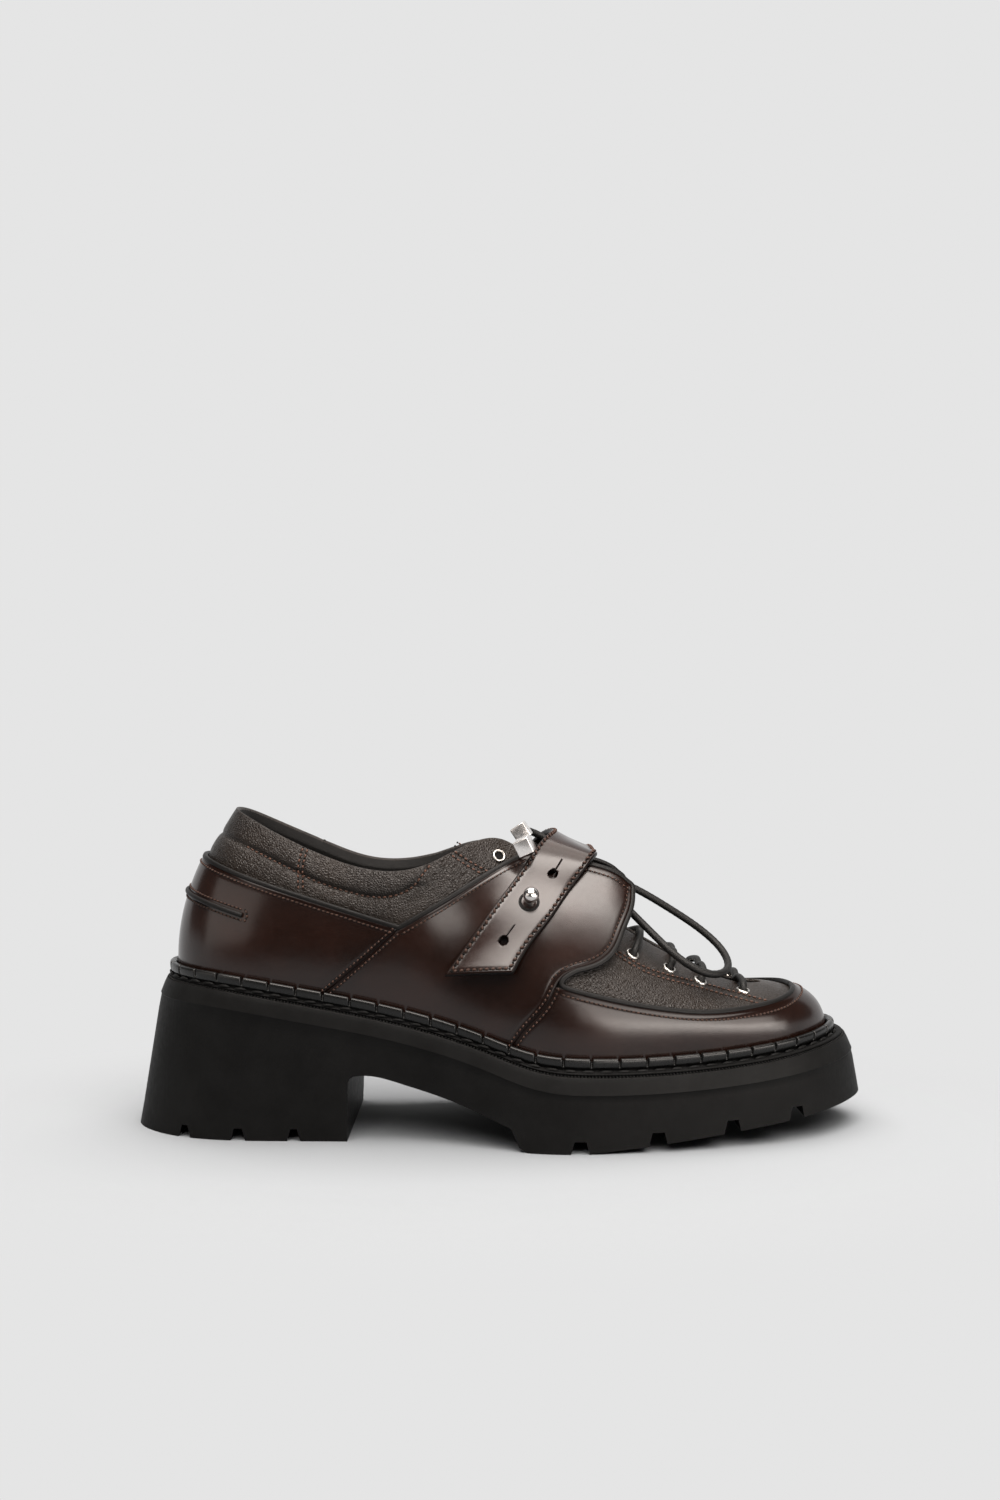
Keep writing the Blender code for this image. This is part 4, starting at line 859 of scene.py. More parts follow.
def tube(points, radius, sides, lay):
    """Points and faces of a round cord with a braid of crossing strands."""
    along = unit(np.gradient(points, axis=0))
    normals = np.zeros_like(points)
    normals[0] = unit(np.cross(along[0], np.cross(CORD_UP, along[0])))
    for i in range(1, len(points)):
        normals[i] = unit(normals[i - 1] - along[i] * np.dot(normals[i - 1], along[i]))
    turns = np.arange(sides) * math.tau / sides
    run = distances(points)[:, None] * math.tau / lay
    strands = np.abs(np.sin(STRANDS * turns + run)) + np.abs(np.sin(STRANDS * turns - run))
    radii = radius * (1 - BRAID + BRAID * strands)
    return sweep(points, normals, np.stack([radii * np.cos(turns), radii * np.sin(turns)], axis=-1))


class Rows:
    """Many small things gathered into one mesh."""

    def __init__(self, holes=None):
        self.points, self.faces, self.count = [], [], 0
        self.holes = holes

    def add(self, points, faces):
        self.points.append(np.reshape(points, (-1, 3)))
        self.faces += [[self.count + k for k in face] for face in faces]
        self.count += len(self.points[-1])

    def stitch(self, points, normals, pitch, length, width, height, slant, sink=0.05, phase=0.5):
        """Row of stitches along a line, each with a dark disc, painted shade, at the hole it starts from."""
        run = distances(points)
        number = max(1, int(run[-1] / pitch))
        middles = (np.arange(number) + phase) * run[-1] / number
        if self.holes:
            hole = Stitch(pitch, HOLE_LENGTH * width, HOLE_WIDTH * width, 0.0, slant)
            self.holes.stitch(points, normals, *hole, sink=HOLE_SINK * width, phase=0.0)

        def at(rows, ahead=0.0):
            return np.column_stack([np.interp(middles + ahead, run, rows[:, k]) for k in range(3)])

        up = unit(at(normals))
        side = unit(np.cross(up, unit(at(points, 0.3) - at(points, -0.3))))
        along = np.cross(side, up)
        cos, sin = math.cos(math.radians(slant)), math.sin(math.radians(slant))
        along, side = along * cos + side * sin, side * cos - along * sin
        rings, turns = 6, 6
        share = np.linspace(-1, 1, rings)
        girth = np.sqrt(np.clip(1 - share ** 4, 0.02, 1))
        angle = np.arange(turns) * math.tau / turns
        local = np.stack([
            np.broadcast_to(share[:, None] * length / 2, (rings, turns)),
            girth[:, None] * np.cos(angle) * width / 2,
            (1 - share ** 2)[:, None] * height - sink + girth[:, None] * np.sin(angle) * width * 0.4,
        ], axis=-1).reshape(-1, 3)
        cloud = at(points)[:, None] + local[:, 0, None] * along[:, None] + local[:, 1, None] * side[:, None]
        for one in cloud + local[:, 2, None] * up[:, None]:
            self.add(one, tube_faces(rings, turns))

    def build(self, name, material, slot, nodes=()):
        return piece(name, np.vstack(self.points), self.faces, [material], slot, nodes)


def laid(uv, offset, lifted=False):
    """Points over a path of (u, t) and the directions away from the upper there."""
    return surface(uv[:, 0], uv[:, 1], offset, lifted), surface_normal(uv[:, 0], uv[:, 1], lifted)


def on_panel(rows, side, offset, lifted=False, count=160):
    """Dense points and normals of a line drawn on one side of the shoe."""
    return laid(drawn(rows, side, count, lifted), offset, lifted)


def on_relief(rows, side, count=220):
    """Dense points and normals of a line drawn on the black leather of one side."""
    uv = drawn(rows, side, count)
    return laid(uv, collar_relief(uv[:, 0], uv[:, 1]))


def add_node(tree, kind, inputs, **settings):
    node = tree.nodes.new(kind)
    for key, value in settings.items():
        setattr(node, key, value)
    for key, value in inputs.items():
        if isinstance(value, bpy.types.NodeSocket):
            tree.links.new(value, node.inputs[key])
        else:
            node.inputs[key].default_value = value
    return node


def new_look(name, **values):
    """Material, its nodes, its shader and the place on the object."""
    look = bpy.data.materials.new(name)
    look.use_nodes = True
    tree = look.node_tree
    shader = tree.nodes["Principled BSDF"]
    for key, value in values.items():
        shader.inputs[key.replace("_", " ")].default_value = value
    return look, tree, shader, add_node(tree, "ShaderNodeTexCoord", {}).outputs["Object"]


def feed(tree, shader, **sockets):
    for key, socket in sockets.items():
        tree.links.new(socket, shader.inputs[key.replace("_", " ")])


def noise(tree, place, size, detail=4.0, rough=0.55):
    """Noise whose features are about the given size in millimetres."""
    settings = {"Vector": place, "Scale": 1000.0 / size, "Detail": detail, "Roughness": rough}
    return add_node(tree, "ShaderNodeTexNoise", settings).outputs["Fac"]


def ranged(tree, value, low, high, from_low=0.25, from_high=0.75):
    inputs = {"Value": value, "From Min": from_low, "From Max": from_high, "To Min": low, "To Max": high}
    return add_node(tree, "ShaderNodeMapRange", inputs).outputs["Result"]


def soft_range(tree, value, low, high):
    """Smooth step of a value from 0 at low to 1 at high."""
    inputs = {"Value": value, "From Min": low, "From Max": high}
    return add_node(tree, "ShaderNodeMapRange", inputs, interpolation_type="SMOOTHSTEP").outputs["Result"]


def vector(tree, operation, *inputs):
    return add_node(tree, "ShaderNodeVectorMath", dict(enumerate(inputs)), operation=operation).outputs


def blend(tree, share, first, second):
    """Mix of two colours, each given as a socket or as red, green and blue."""
    sides = [side if isinstance(side, bpy.types.NodeSocket) else (*side, 1.0) for side in (first, second)]
    inputs = {0: share, 6: sides[0], 7: sides[1]}
    return add_node(tree, "ShaderNodeMix", inputs, data_type="RGBA").outputs[2]


def bumps(tree, *layers):
    """Chain of bumps, each a height and its depth in millimetres."""
    normal = None
    for height, depth in layers:
        inputs = {"Height": height, "Strength": 1.0, "Distance": depth * MM}
        if normal:
            inputs["Normal"] = normal
        normal = add_node(tree, "ShaderNodeBump", inputs).outputs["Normal"]
    return normal


def leather(name, dark, light, cell, grain, pores, rough, waves, edge_dark=None, **values):
    """Leather with cells of grain, fine pores and clouded colour; sizes in millimetres."""
    look, tree, shader, place = new_look(name, **values)
    clouds = ranged(tree, noise(tree, place, LEATHER_CLOUD), 0.0, 1.0, 0.3, 0.7)
    colour = blend(tree, clouds, dark, light)
    if edge_dark:
        edge = add_node(tree, "ShaderNodeAttribute", {}, attribute_name="edge").outputs["Fac"]
        colour = blend(tree, edge, edge_dark, colour)
        gloss = ranged(tree, edge, 0.1, shader.inputs["Specular IOR Level"].default_value, 0.1, 0.45)
        feed(tree, shader, Specular_IOR_Level=gloss)
    inputs = {"Vector": place, "Scale": 300.0, "Detail": 2.0}
    bend = add_node(tree, "ShaderNodeTexNoise", inputs).outputs["Color"]
    bent = vector(tree, "ADD", place, vector(tree, "MULTIPLY", bend, (cell * MM,) * 3)[0])[0]
    inputs = {"Vector": bent, "Scale": 1000.0 / cell}
    cells = add_node(tree, "ShaderNodeTexVoronoi", inputs, feature="DISTANCE_TO_EDGE").outputs["Distance"]
    normal = bumps(
        tree, (ranged(tree, cells, 0.0, 1.0, 0.0, 0.35), grain),
        (noise(tree, place, LEATHER_PORE, 3.0), pores),
        (noise(tree, place, LEATHER_WAVE, 2.0), waves),
    )
    rough = ranged(tree, noise(tree, place, LEATHER_SPECK, 3.0), *rough)
    feed(tree, shader, Base_Color=colour, Roughness=rough, Normal=normal)
    return look


def rubber(name, colour, rough, streak, skin, gloss):
    """Moulded rubber: fine skin, faint upright streaks and dusty patches."""
    look, tree, shader, place = new_look(name, Specular_IOR_Level=gloss)
    inputs = {"Vector": place, "Scale": (1.0, 1.0, 0.06)}
    stretch = add_node(tree, "ShaderNodeMapping", inputs).outputs["Vector"]
    dust = ranged(tree, noise(tree, place, RUBBER_DUST), 0.0, 1.0, 0.35, 0.8)
    colour = blend(tree, dust, colour, [1.5 * value + 0.001 for value in colour])
    normal = bumps(
        tree, (noise(tree, stretch, RUBBER_STREAK, 3.0), streak),
        (noise(tree, place, RUBBER_SKIN, 3.0), skin),
    )
    rough = ranged(tree, noise(tree, place, RUBBER_SPECK), *rough)
    feed(tree, shader, Base_Color=colour, Roughness=rough, Normal=normal)
    return look


def thread(name, dark, light):
    """Waxed thread with its twist."""
    look, tree, shader, place = new_look(name, Roughness=0.5, Specular_IOR_Level=0.2)
    colour = blend(tree, ranged(tree, noise(tree, place, THREAD_FLECK, 3.0), 0.0, 1.0), dark, light)
    normal = bumps(tree, (noise(tree, place, THREAD_TWIST, 2.0), THREAD_DEPTH))
    feed(tree, shader, Base_Color=colour, Normal=normal)
    return look


def metal(name, colour, rough):
    """Polished plate with faint smears."""
    look, tree, shader, place = new_look(name, Metallic=1.0, Base_Color=(*colour, 1.0))
    rough = ranged(tree, noise(tree, place, METAL_SPECK), *rough)
    normal = bumps(tree, (noise(tree, place, METAL_SMEAR, 2.0), METAL_DEPTH))
    feed(tree, shader, Roughness=rough, Normal=normal)
    return look


def make_looks():
    return {
        "brown": leather(
            "brown_leather", (0.0074, 0.0025, 0.0013), (0.015, 0.0051, 0.003), cell=0.7, grain=0.004,
            pores=0.004, rough=(0.17, 0.23), waves=0.05, edge_dark=(0.005, 0.0018, 0.0011),
            Specular_IOR_Level=0.42,
        ),
        "black": leather(
            "black_leather", (0.0056, 0.0035, 0.0024), (0.0098, 0.0062, 0.0041), cell=0.95, grain=0.16,
            pores=0.03, rough=(0.32, 0.42), waves=0.06, Specular_IOR_Level=0.24,
        ),
        "edge": leather(
            "edge_paint", (0.003, 0.0026, 0.0024), (0.005, 0.0044, 0.004), cell=0.9, grain=0.02,
            pores=0.02, rough=(0.4, 0.5), waves=0.05, Specular_IOR_Level=0.14,
        ),
        "lining": leather(
            "lining_leather", (0.0022, 0.0019, 0.0017), (0.004, 0.0035, 0.0031), cell=0.6, grain=0.03,
            pores=0.02, rough=(0.55, 0.7), waves=0.05, Specular_IOR_Level=0.08,
        ),
        "sole": rubber(
            "sole_rubber", (0.0036, 0.0034, 0.0032), (0.46, 0.58), streak=0.05, skin=0.035, gloss=0.07,
        ),
        # Welt rubber darkened for the flange in the recess under the bead: painted shade of the recess
        "recess": rubber(
            "recess_shade_rubber", (0.0018, 0.0017, 0.0016), (0.5, 0.6), streak=0.03, skin=0.03, gloss=0.06,
        ),
        "welt": rubber(
            "welt_rubber", (0.003, 0.0028, 0.0026), (0.24, 0.32), streak=0.01, skin=0.006, gloss=0.3,
        ),
        "thread": thread("brown_thread", (0.012, 0.0052, 0.0034), (0.05, 0.022, 0.0135)),
        "pale_thread": thread("tan_thread", (0.028, 0.012, 0.0075), (0.105, 0.047, 0.029)),
        "cord": thread("black_cord", (0.0026, 0.0024, 0.0022), (0.0066, 0.006, 0.0055)),
        "chrome": metal("polished_metal", (0.58, 0.555, 0.54), (0.13, 0.19)),
        "nickel": metal("satin_metal", (0.80, 0.77, 0.75), (0.24, 0.32)),
        "steel": metal("eyelet_metal", (0.56, 0.54, 0.51), (0.22, 0.32)),
    }


def capped(rings):
    """Points and faces between a first and a last ring, each closed by strips straight across the shoe."""
    rows, count = rings.shape[:2]
    faces = quads(rows, count, wrap_columns=True)
    for first in (0, (rows - 1) * count):
        for i in range(count // 2):
            across = [i, i + 1, count - i - 1, (count - i) % count]
            faces.append(list(dict.fromkeys(first + k % count for k in across)))
    return rings.reshape(-1, 3), faces


def prism(count):
    """Faces between a ring of points and its copy."""
    faces = [list(range(count)), list(range(2 * count - 1, count - 1, -1))]
    return faces + [[i, (i + 1) % count, count + (i + 1) % count, count + i] for i in range(count)]


def carve(item, tools, operations):
    """Cuts the tools out of the object, or keeps what they share, and leaves a plain mesh."""
    for tool, operation in zip(tools, operations):
        modifier = item.modifiers.new(tool.name, "BOOLEAN")
        modifier.operation = operation
        modifier.object = tool
    bpy.context.view_layer.update()
    shape = item.evaluated_get(bpy.context.evaluated_depsgraph_get())
    mesh = bpy.data.meshes.new_from_object(shape)
    item.modifiers.clear()
    item.data = mesh
    for tool in tools:
        bpy.data.objects.remove(tool, do_unlink=True)


def notch_points():
    """Grooves across the tread from both sides, as points and faces."""
    gathered = Rows()
    faces = [[0, 1, 3, 2], [4, 6, 7, 5], [0, 2, 6, 4], [1, 5, 7, 3], [2, 3, 7, 6], [0, 4, 5, 1]]
    for x, low, high in NOTCHES:
        floor = tread_height(x)
        for side in SIDES:
            us = np.linspace(0, 1, 400) if side == LATERAL else np.linspace(1, 2, 400)
            u = us[np.argmin(np.abs(column(us, "tread_x") - x))]
            inner = float(column(u, "tread_y") - side * NOTCH_REACH)
            corners = []
            for y in (side * CUT_FAR, inner):
                for half, z in ((low - high / 2, floor - NOTCH_DEPTH), (high / 2, floor + NOTCH_DEPTH)):
                    corners += [(x - half, y, z), (x + half, y, z)]
            gathered.add(corners, faces)
    return np.vstack(gathered.points), gathered.faces


def make_outsole(look):
    u = ring_stations(130)
    ledge, bevel, tread = sole_rings(u)
    away = np.column_stack([outward(u), np.zeros(len(u))])
    drop = np.array([0.0, 0.0, 1.0])
    rows = [ledge - back * away - down * drop for back, down in SOLE_EDGE]
    rows += [ledge + (bevel - ledge) * share for share in BEVEL_SHARES]
    rows += [bevel, bevel - BEVEL_FOOT[0] * away - BEVEL_FOOT[1] * drop]
    rows += [bevel + (tread - bevel) * share - SIDE_HOLLOW * away for share in SIDE_SHARES]
    sole = placed("outsole_rubber", new_mesh("outsole_rubber", *capped(np.stack(rows + [tread]))))
    profile = underside()
    arch_end = len(BREAST_FILLET) + len(ARCH_SHARES)
    profile = np.vstack([through(profile[:arch_end], 40), profile[arch_end:]])
    points = [(x, y, z) for y in (-CUT_FAR, CUT_FAR) for x, z in profile]
    side = placed("side_profile", new_mesh("side_profile", points, prism(len(profile))))
    notches = placed("notches", new_mesh("notches", *notch_points()))
    carve(sole, [side, notches], ["INTERSECT", "DIFFERENCE"])
    sole.data.materials.append(look)
    soften = sole.modifiers.new("soft_edges", "BEVEL")
    soften.width = SOLE_SOFTNESS * MM
    soften.segments = 2
    soften.limit_method = "ANGLE"
    soften.angle_limit = SOLE_SHARP
    sole.data.shade_smooth()
    sole.data.set_sharp_from_angle(angle=SOLE_SHARP)
    own(sole, ["outsole"])


def bead_stations():
    """Stations round the welt, crowded at its notches, and each one's depth of cut."""
    fine = np.linspace(0, LAP, 3001)
    plan = outline(fine, "foot", WELT_LINE)
    run = distances(np.column_stack([plan, sole_top(column(fine, "foot_x"))]))
    number = round(run[-1] / WELT_PITCH)
    pitch = run[-1] / number
    between = np.linspace(WELT_NOTCH[-1], pitch + WELT_NOTCH[0], 9)[1:-1]
    offsets = np.concatenate([WELT_NOTCH, between])
    at = (np.arange(number)[:, None] * pitch + offsets).ravel()
    nearest = np.minimum(np.abs(offsets), pitch - np.abs(offsets))
    cut = np.tile(np.exp(-(nearest / WELT_NOTCH_HALF) ** 4), number)
    return np.interp(np.mod(at, run[-1]), run, fine), cut


def welt_row(u, out, up):
    """Line round the shoe at a distance out from the upper's foot and a height above the sole."""
    plan = outline(u, "foot", out + up * column(u, "bulge") / column(u, "rise"))
    return np.column_stack([plan, sole_top(column(u, "foot_x")) + up])


def flange_row(u, out, up):
    """Line round the shoe at a distance out from the upper's foot, a height above the sole there."""
    plan = outline(u, "foot", out)
    return np.column_stack([plan, sole_top(plan[:, 0]) + up])


def make_welt(look, flange_shade_look):
    u, cut = bead_stations()
    away = np.column_stack([outward(u), np.zeros(len(u))])
    rings = []
    for row in WELT_PROFILE:
        inward = away * (WELT_CORE[0] - row.out) * WELT_CUT[0]
        inward = inward + np.array([0, 0, 1.0]) * (WELT_CORE[1] - row.up) * WELT_CUT[1]
        rings.append(welt_row(u, row.out, row.up) + inward * (cut * row.cut)[:, None])
    reach = column(u, "ledge") - WELT_INSET
    rings = np.stack(rings + [flange_row(u, reach - back, up) for back, up in FLANGE])
    faces = quads(*rings.shape[:2], wrap_rows=True, wrap_columns=True)
    # The flange's faces take the darker rubber, painted shade of the recess
    flange = np.repeat(np.arange(len(rings)) >= len(WELT_PROFILE) - FLANGE_ROWS, len(u))
    piece("welt_bead", rings, faces, [look, flange_shade_look], "rubber", ["welt"], flange)


def make_ledge(look):
    """Row of heavy stitches in the recess under the welt, and the fine wheel marks on the sole's ledge."""
    u = np.linspace(0, LAP, 1600)
    ledge = column(u, "ledge")
    out = np.minimum(ledge - WELT_INSET - WELT_STITCH_BACK, WELT_STITCH_OUT)
    lean, rise = WELT_STITCH_LEAN
    up = np.column_stack([outward(u) * lean, np.full(len(u), rise)])
    rows, marks = Rows(), Rows()
    rows.stitch(flange_row(u, out, WELT_STITCH_UP), unit(up), *WELT_STITCH)
    rows.build("welt_stitches", look, "rubber")
    line = flange_row(u, ledge - LEDGE_MARK_BACK, LEDGE_MARK_UP)
    marks.stitch(line, np.tile((0.0, 0.0, 1.0), (len(u), 1)), *LEDGE_MARK)
    marks.build("ledge_marks", look, "rubber")


def make_insole(look):
    u = ring_stations(120)
    edge, top = -(WALL + 2 * GAP), GAP + INSOLE_THICKNESS
    rows = ((edge, GAP), (edge, top - INSOLE_ROUND[1]), (edge - INSOLE_ROUND[0], top))
    piece("footbed", *capped(np.stack([flange_row(u, *row) for row in rows])), [look], "lining", ["insole"])


def collar_relief(u, t):
    """How far the black leather stands out from the last: padding, seams, facing and creases."""
    side = rib_point(u, t, False)[..., [0, 2]]
    x, z = side[..., 0], side[..., 1]

    def ahead_of(start, fade):
        return smoothstep((x - start) / fade)

    def behind(end, fade):
        return smoothstep((end - x) / fade)

    pad, below, facing = (height_line(rows)(x) for rows in (PAD_LINE[:-2], COLLAR_LINE, EYESTAY))
    share = np.clip((z - pad) / np.maximum(column(u, "top_z") - pad, PUFF_LEAST), 0, 1)
    low = np.clip((z - below) / np.maximum(pad - below, LOW_PUFF_LEAST), 0, 1)
    puff = np.sin(math.pi * share ** PUFF_LEAN) ** PUFF_ROUNDNESS
    relief = PUFF * behind(*PUFF_FRONT) * ahead_of(*PUFF_REAR) * puff
    relief = relief + LOW_PUFF * behind(*LOW_PUFF_FRONT) * np.sin(math.pi * low)
    for rows, depth, width in GROOVES:
        relief = relief - groove(line_distance(side, rows), depth, width)
    relief = relief + APRON_STEP * smoothstep((z - facing) / APRON_STEP_WIDTH + 0.5) * ahead_of(*FACING_REAR)
    relief = relief - groove(z - facing - FACING_ROW, *FACING_GROOVE) * ahead_of(*FACING_GROOVE_REAR)
    for row in CREASES:
        cos, sin = math.cos(math.radians(row.angle)), math.sin(math.radians(row.angle))
        across = (z - row.z) * cos - (x - row.x) * sin
        along = (x - row.x) * cos + (z - row.z) * sin
        fold = groove(across, 1.0, row.width)
        fold = fold - groove(across - CREASE_LIP_AT * row.width, CREASE_LIP, row.width)
        relief = relief - row.depth * fold * groove(along, 1.0, row.length / 2)
    return relief


def make_upper(look, lining):
    u = ring_stations(290)
    speed = np.linalg.norm(rib_point(u, 1.0, False) - rib_point(u, 0.95, False), axis=-1) / 0.05
    thick = wall_thickness(u, 1.0)
    end = 1 - ROLL * thick / speed
    rows = np.linspace(0, 1, 84)[:, None] * end
    around = np.broadcast_to(u, rows.shape)
    outer = surface(around, rows, collar_relief(around, rows))
    fall = smoothstep((COLLAR_PAD_FRONT_X - column(u, "top_x")) / COLLAR_PAD_BLEND)
    rows = np.linspace(1, 0, 26)[:, None] * np.minimum(1 - COLLAR_FALL * fall / speed, end)
    around = np.broadcast_to(u, rows.shape)
    inner = surface(around, rows, -wall_thickness(around, rows))
    rise = unit(rib_point(u, end, False) - rib_point(u, end - 0.01, False))
    middle, half = (outer[-1] + inner[0]) / 2, (outer[-1] - inner[0]) / 2
    roll = []
    for turn in np.linspace(0, math.pi, 9)[1:-1]:
        roll.append(middle + half * math.cos(turn) + rise * (ROLL * thick * math.sin(turn))[:, None])
    for ring in (inner[-1], outer[0]):
        ring[:, 2] = sole_top(ring[:, 0]) + GAP
    rings = np.concatenate([outer, np.stack(roll), inner])
    faces = quads(*rings.shape[:2], wrap_rows=True, wrap_columns=True)
    pick = np.repeat(np.arange(len(rings)) >= len(outer) + 2, len(u))
    piece("upper_leather", rings, faces, [look, lining], "black_leather", ["upper"], pick)


def make_tongue(look):
    us = throat_stations(TONGUE_START_X, TONGUE_REACH, 90)
    shares = np.linspace(*TONGUE_SHARES, 12)
    left, right = (
        [surface(side, np.full_like(us, t), -(wall_thickness(side, t) + 3 * GAP)) for t in shares]
        for side in (us, LAP - us)
    )
    crown = []
    for share in np.linspace(0, 1, 14)[1:-1]:
        line = left[-1] * (1 - share) + right[-1] * share
        line[:, 2] += TONGUE_CROWN * math.sin(math.pi * share)
        crown.append(line)
    outer = np.stack(left + crown + right[::-1], axis=1)
    inner = outer - np.array([TONGUE_LEAN, 0.0, 1.0]) * TONGUE_THICKNESS
    points, faces, _ = slab(outer, inner, TONGUE_BULGE)
    piece("tongue_leather", points, faces, [look], "black_leather", ["tongue"])


def foot_of(start, end, count):
    """Lower edge of an overlay, as (u, t)."""
    return np.column_stack([np.linspace(start, end, count), np.full(count, PANEL_FOOT)])


def end_grid(seam, gap, sides, top_t, count, rows):
    """Grid of (u, t) of the overlay round the heel or the toe, between its seams on the two sides."""
    rear, front = (drawn(shifted(seam, gap), side, rows) for side in sides)
    if sides[0] == MEDIAL:
        rear = rear - np.array([LAP, 0.0])
    u_top = np.linspace(rear[-1, 0], front[-1, 0], count)
    top = np.column_stack([u_top, top_t(u_top)])
    bottom = foot_of(rear[0, 0], front[0, 0], count)
    rear[0], front[0], rear[-1], front[-1] = bottom[0], bottom[-1], top[0], top[-1]
    return patch(bottom, top, rear, front, rows)


def quarter_grid(side, count, rows):
    top_line = np.vstack([
        inset(through(QUARTER_REAR, 12), BAND_INSET)[:-1], inset(through(WING_TOP, 10), BAND_INSET)[1:],
    ])
    front_line = np.vstack([
        through(shifted(FRONT_SEAM, -SEAM_GAP), 6)[:-1], inset(through(WING_FRONT, 16), BAND_INSET)[::-1][1:],
    ])
    front_line[-1] = top_line[-1]
    top = drawn(top_line, side, count, True)
    front = drawn(front_line, side, rows, True)
    rear = drawn(shifted(BACK_SEAM, SEAM_GAP), side, rows, True)
    rear[0, 1] = front[0, 1] = PANEL_FOOT
    rear[-1], front[-1] = top[0], top[-1]
    return patch(foot_of(rear[0, 0], front[0, 0], count), top, rear, front, rows)


def collar_t(u, below):
    line = height_line(COLLAR_LINE)
    return level(u, lambda x: line(x) - below)


def apron_t(u, below):
    lateral, medial = height_line(APRON_LATERAL), height_line(APRON_MEDIAL)
    lateral_t = level(u, lambda x: lateral(x) - below)
    medial_t = level(u, lambda x: medial(x) - below)
    return np.where(u < 1, lateral_t, medial_t)


def overlay(node, outer, inner, near, gloss_reach, looks):
    """Brown slab with a painted rim and a black back; near is each point's distance from the dull edges."""
    points, faces, pick = slab(outer, inner, RIM_BULGE)
    shares = np.zeros(len(points))
    shares[:near.size] = np.clip(near / gloss_reach, 0, 1).ravel() ** GLOSS_POWER
    materials = [looks["brown"], looks["edge"], looks["black"]]
    return piece(f"{node}_leather", points, faces, materials, "brown_leather", [node], pick, shares)


def make_panel(node, grid, lifted, looks, rows):
    """Brown overlay; rows gives the distance of the stitching from each stitched edge."""
    u, t = grid[..., 0], grid[..., 1]
    base = surface(u, t, PANEL_FACE, lifted)
    edges = dict(zip(("rear", "front", "bottom", "top"), edge_distance(base)))
    relief = np.zeros(u.shape)
    for side, row in rows.items():
        relief -= groove(edges[side] - row, *THREAD_GROOVE) + groove(edges[side], *EDGE_FALL)
    outer = surface(u, t, PANEL_FACE + relief, lifted)
    inner = surface(u, t, PANEL_BACK, lifted)
    overlay(node, outer, inner, np.min([edges[side] for side in rows], axis=0), PANEL_GLOSS_REACH, looks)


def make_panels(looks):
    edge = THREAD_ROW - BAND_INSET
    ends = {"rear": SEAM_ROW, "front": SEAM_ROW, "top": edge}
    back = end_grid(BACK_SEAM, -SEAM_GAP, (MEDIAL, LATERAL), lambda u: collar_t(u, BAND_INSET), 220, 60)
    make_panel("counter", back, False, looks, ends)
    for word, side in zip(("lateral", "medial"), SIDES):
        rows = {"rear": SEAM_ROW, "front": edge, "top": edge}
        make_panel(f"quarter_{word}", quarter_grid(side, 150, 110), True, looks, rows)
    toe = end_grid(FRONT_SEAM, SEAM_GAP, SIDES, lambda u: apron_t(u, BAND_INSET), 260, 50)
    make_panel("mudguard", toe, False, looks, ends)


def round_heel(rows, top_t, count, heel_count, lifted=False):
    """Path in (u, t) from a line's medial end, round the heel, to its lateral end."""
    lateral, medial = (drawn(rows, side, count, lifted) for side in SIDES)
    medial = medial[::-1] - np.array([LAP, 0.0])
    u = np.linspace(medial[-1, 0], lateral[0, 0], heel_count)[1:-1]
    return np.vstack([medial, np.column_stack([u, top_t(u)]), lateral])


def apron_path(count):
    """Path in (u, t) along both wings and round the apron, and which of its points are on a wing."""
    line = np.vstack([through(WING_TOP[1:], 12)[:-1], through(WING_FRONT, 28)])
    lateral, medial = (drawn(line, side, count, True) for side in SIDES)
    u = np.linspace(lateral[-1, 0], medial[-1, 0], 3 * count)[1:-1]
    path = np.vstack([lateral, np.column_stack([u, apron_t(u, 0.0)]), medial[::-1]])
    index = np.arange(len(path))
    for corner in (count, len(path) - count):
        near = (np.abs(index - corner) < CORNER_REACH)[:, None]
        for _ in range(CORNER_ROUNDING):
            even = (np.roll(path, 1, axis=0) + 2 * path + np.roll(path, -1, axis=0)) / 4
            path = np.where(near, even, path)
    return path, (index < count) | (index >= len(path) - count)


def make_bands(look):
    """Black bound edges of the brown overlays."""
    collar = round_heel(QUARTER_REAR, lambda u: collar_t(u, 0.0), 80, 240, True)
    for node, path, wing in (
        ("piping_collar", collar, np.ones(len(collar), bool)), ("piping_apron", *apron_path(110)),
    ):
        lifted, flat = laid(path, BAND_STAND, True), laid(path, BAND_STAND)
        centres, normals = (np.where(wing[:, None], *pair) for pair in zip(lifted, flat))
        band = sweep(centres, normals, oval(BAND_HALF, BAND_HEIGHT, 20, BAND_SQUARENESS))
        piece(f"{node}_band", *band, [look], "black_leather", [node])


def heel_path(shift):
    line = height_line(HEEL_LOOP)
    rows = shifted(HEEL_LOOP[1:], z=shift)
    return round_heel(rows, lambda u: level(u, lambda x: line(x) + shift), 50, 50)


def make_heel_loop(look, brown):
    binding = sweep(*laid(heel_path(0.0), PANEL_FACE + HEEL_LOOP_STAND), oval(*HEEL_LOOP_HALF, 12))
    piece("heel_loop_binding", *binding, [look], "black_leather", ["heel_loop"])
    for shift in (-HEEL_LOOP_ROW, HEEL_LOOP_ROW):
        brown.stitch(*laid(heel_path(shift), PANEL_FACE), *PANEL_STITCH)
    tack = np.array(HEEL_LOOP_TACK) + HEEL_LOOP[-1]
    for side in SIDES:
        brown.stitch(*on_panel(tack, side, PANEL_FACE, count=20), *PANEL_STITCH)


def strap_grid(count, shares):
    """Inner face of the strap and its outward directions."""
    inner = np.stack([strap_column(share, count) for share in shares], axis=1)
    normal = unit(np.cross(np.gradient(inner, axis=1), np.gradient(inner, axis=0)))
    return inner, normal * np.sign(normal[count // 2, 0, 2])


